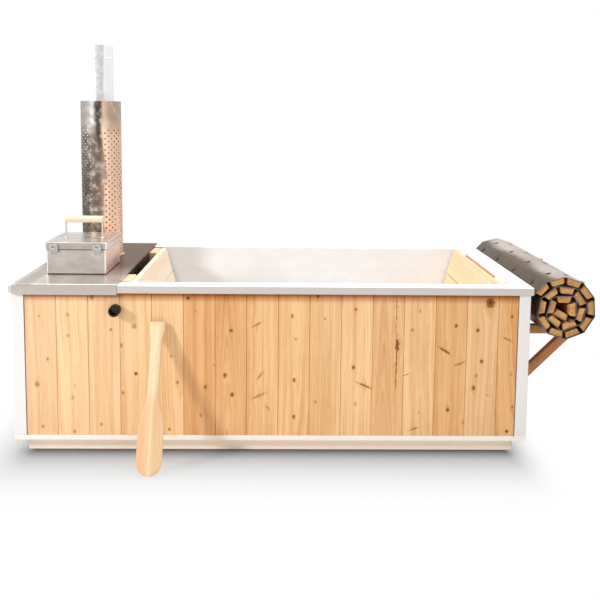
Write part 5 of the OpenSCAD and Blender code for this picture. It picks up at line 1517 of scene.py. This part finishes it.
def make_handle():
    """Turned wooden grip with rounded ends on two steel rods with round feet."""
    half, r, grip, rods = 86.0, 15.0, Build(), Build()
    end = [(r - 4.5, 0.0), (r - 2.4, 0.5), (r - 0.7, 2.4), (r, 5.0)]
    profile = [(out, inward - half) for out, inward in end]
    profile += [(r, x) for x in np.linspace(-half + 14, half - 14, 14)]
    profile += [(out, half - inward) for out, inward in end[::-1]]
    verts, faces = lathe(profile, 32)
    grain = [(x * MM + 0.006, y * MM + 0.022, z * MM + 3) for x, y, z in verts]
    grip.add(transform(verts, turned((HATCH_X, HATCH_Y, 930.3))), faces, 0, grain, None, (1.05, 0, 0.02))
    rod = [(12.0, 0.0), (13.0, 0.4), (13.0, 1.7), (12.2, 2.5), (6.2, 2.5), (4.6, 3.4), (4.0, 5.4),
           (4.0, 82.0)]
    for side in (-1, 1):
        rods.turned(rod, 28, Matrix.Translation((HATCH_X + side * 80.0, HATCH_Y, LID_Z1)))
    grip.make("grip_wood", M_GRIP, "lid", "pine", ("handle_grip",), 40)
    rods.make("handle_rods", M_STEEL_Z, "lid", "brushed_steel", ("handle_posts",), 35, True)


make_rim()
make_channel("plinth_sheet", PLINTH_X, PLINTH_Y, 40.0, 0.0, PLINTH_H, M_PLINTH_WARM_SHADE, "plinth")
make_channel("rail_sheet", POST_X, POST_Y, 60.0, PLINTH_H, FIELD_Z0, M_RAIL_WARM_LIGHT, "bottom_rail")
make_posts()
make_counter()
make_hatch_box()
make_hatch_lid()
make_flue()
make_clasp("left", HATCH_X - 92.0)
make_clasp("right", HATCH_X + 92.0)
make_spout()
make_cradle()
make_rest_hooks()
make_handle()


# World and floor
def make_world():
    """White background for the camera and for gloss, a softer even light on the object."""
    world = bpy.data.worlds.new("studio")
    scene.world = world
    world.use_nodes = True
    tree = world.node_tree
    path = tree.nodes.new("ShaderNodeLightPath")
    seen = path.outputs["Is Camera Ray"]
    for ray in ("Is Glossy Ray", "Is Transmission Ray"):
        most = tree.nodes.new("ShaderNodeMath")
        most.operation = "MAXIMUM"
        tree.links.new(seen, most.inputs[0])
        tree.links.new(path.outputs[ray], most.inputs[1])
        seen = most.outputs[0]
    level = tree.nodes.new("ShaderNodeMapRange")
    level.inputs["To Min"].default_value = 0.42
    level.inputs["To Max"].default_value = 1.0
    tree.links.new(seen, level.inputs["Value"])
    background = tree.nodes["Background"]
    background.inputs["Color"].default_value = (1, 1, 1, 1)
    tree.links.new(level.outputs["Result"], background.inputs["Strength"])


def make_floor():
    """Pale floor; the camera sees it darker near the object as a painted contact shadow, and further out it
    fades into the white.
    """
    s = 30.0
    mesh = bpy.data.meshes.new("floor")
    mesh.from_pydata([(-s, -s, 0), (s, -s, 0), (s, s, 0), (-s, s, 0)], [], [(0, 1, 2, 3)])
    floor = bpy.data.objects.new("floor", mesh)
    scene.collection.objects.link(floor)
    sh = Shader("floor", (0.8, 0.8, 0.8), 0.75, Specular_IOR_Level=0.0)
    seen = sh.node("LightPath", (), "Is Camera Ray")
    x, y, _ = sh.xyz(sh.place())
    right = sh.math("MAXIMUM", x - 0.98, 0.0) * 3.5
    left = sh.math("MAXIMUM", -0.98 - x, 0.0) * 2.2
    dx, dy = left + right, sh.math("MAXIMUM", abs(y) - 0.55, 0.0)
    out = sh.math("SQRT", dx * dx + dy * dy)
    # Painted contact shadow: for the camera the floor's colour darkens towards the object.
    near = sh.mix(sh.remap(out, 0.0, 0.12), (0.068, 0.070, 0.080), (0.33, 0.335, 0.35))
    sh.put("Base Color", sh.mix(seen, (0.80, 0.80, 0.80), near))
    clear = (1.0 - sh.remap(out, 0.0, 0.72, 1.0, 0.0) ** 2.6) * seen
    solid = Value(sh, sh.bsdf.outputs["BSDF"])
    blend = sh.node("MixShader", {0: clear, 1: solid, 2: sh.node("BsdfTransparent")})
    sh.put("Surface", blend, sh.tree.nodes["Material Output"])
    mesh.materials.append(sh.mat)


make_world()
make_floor()
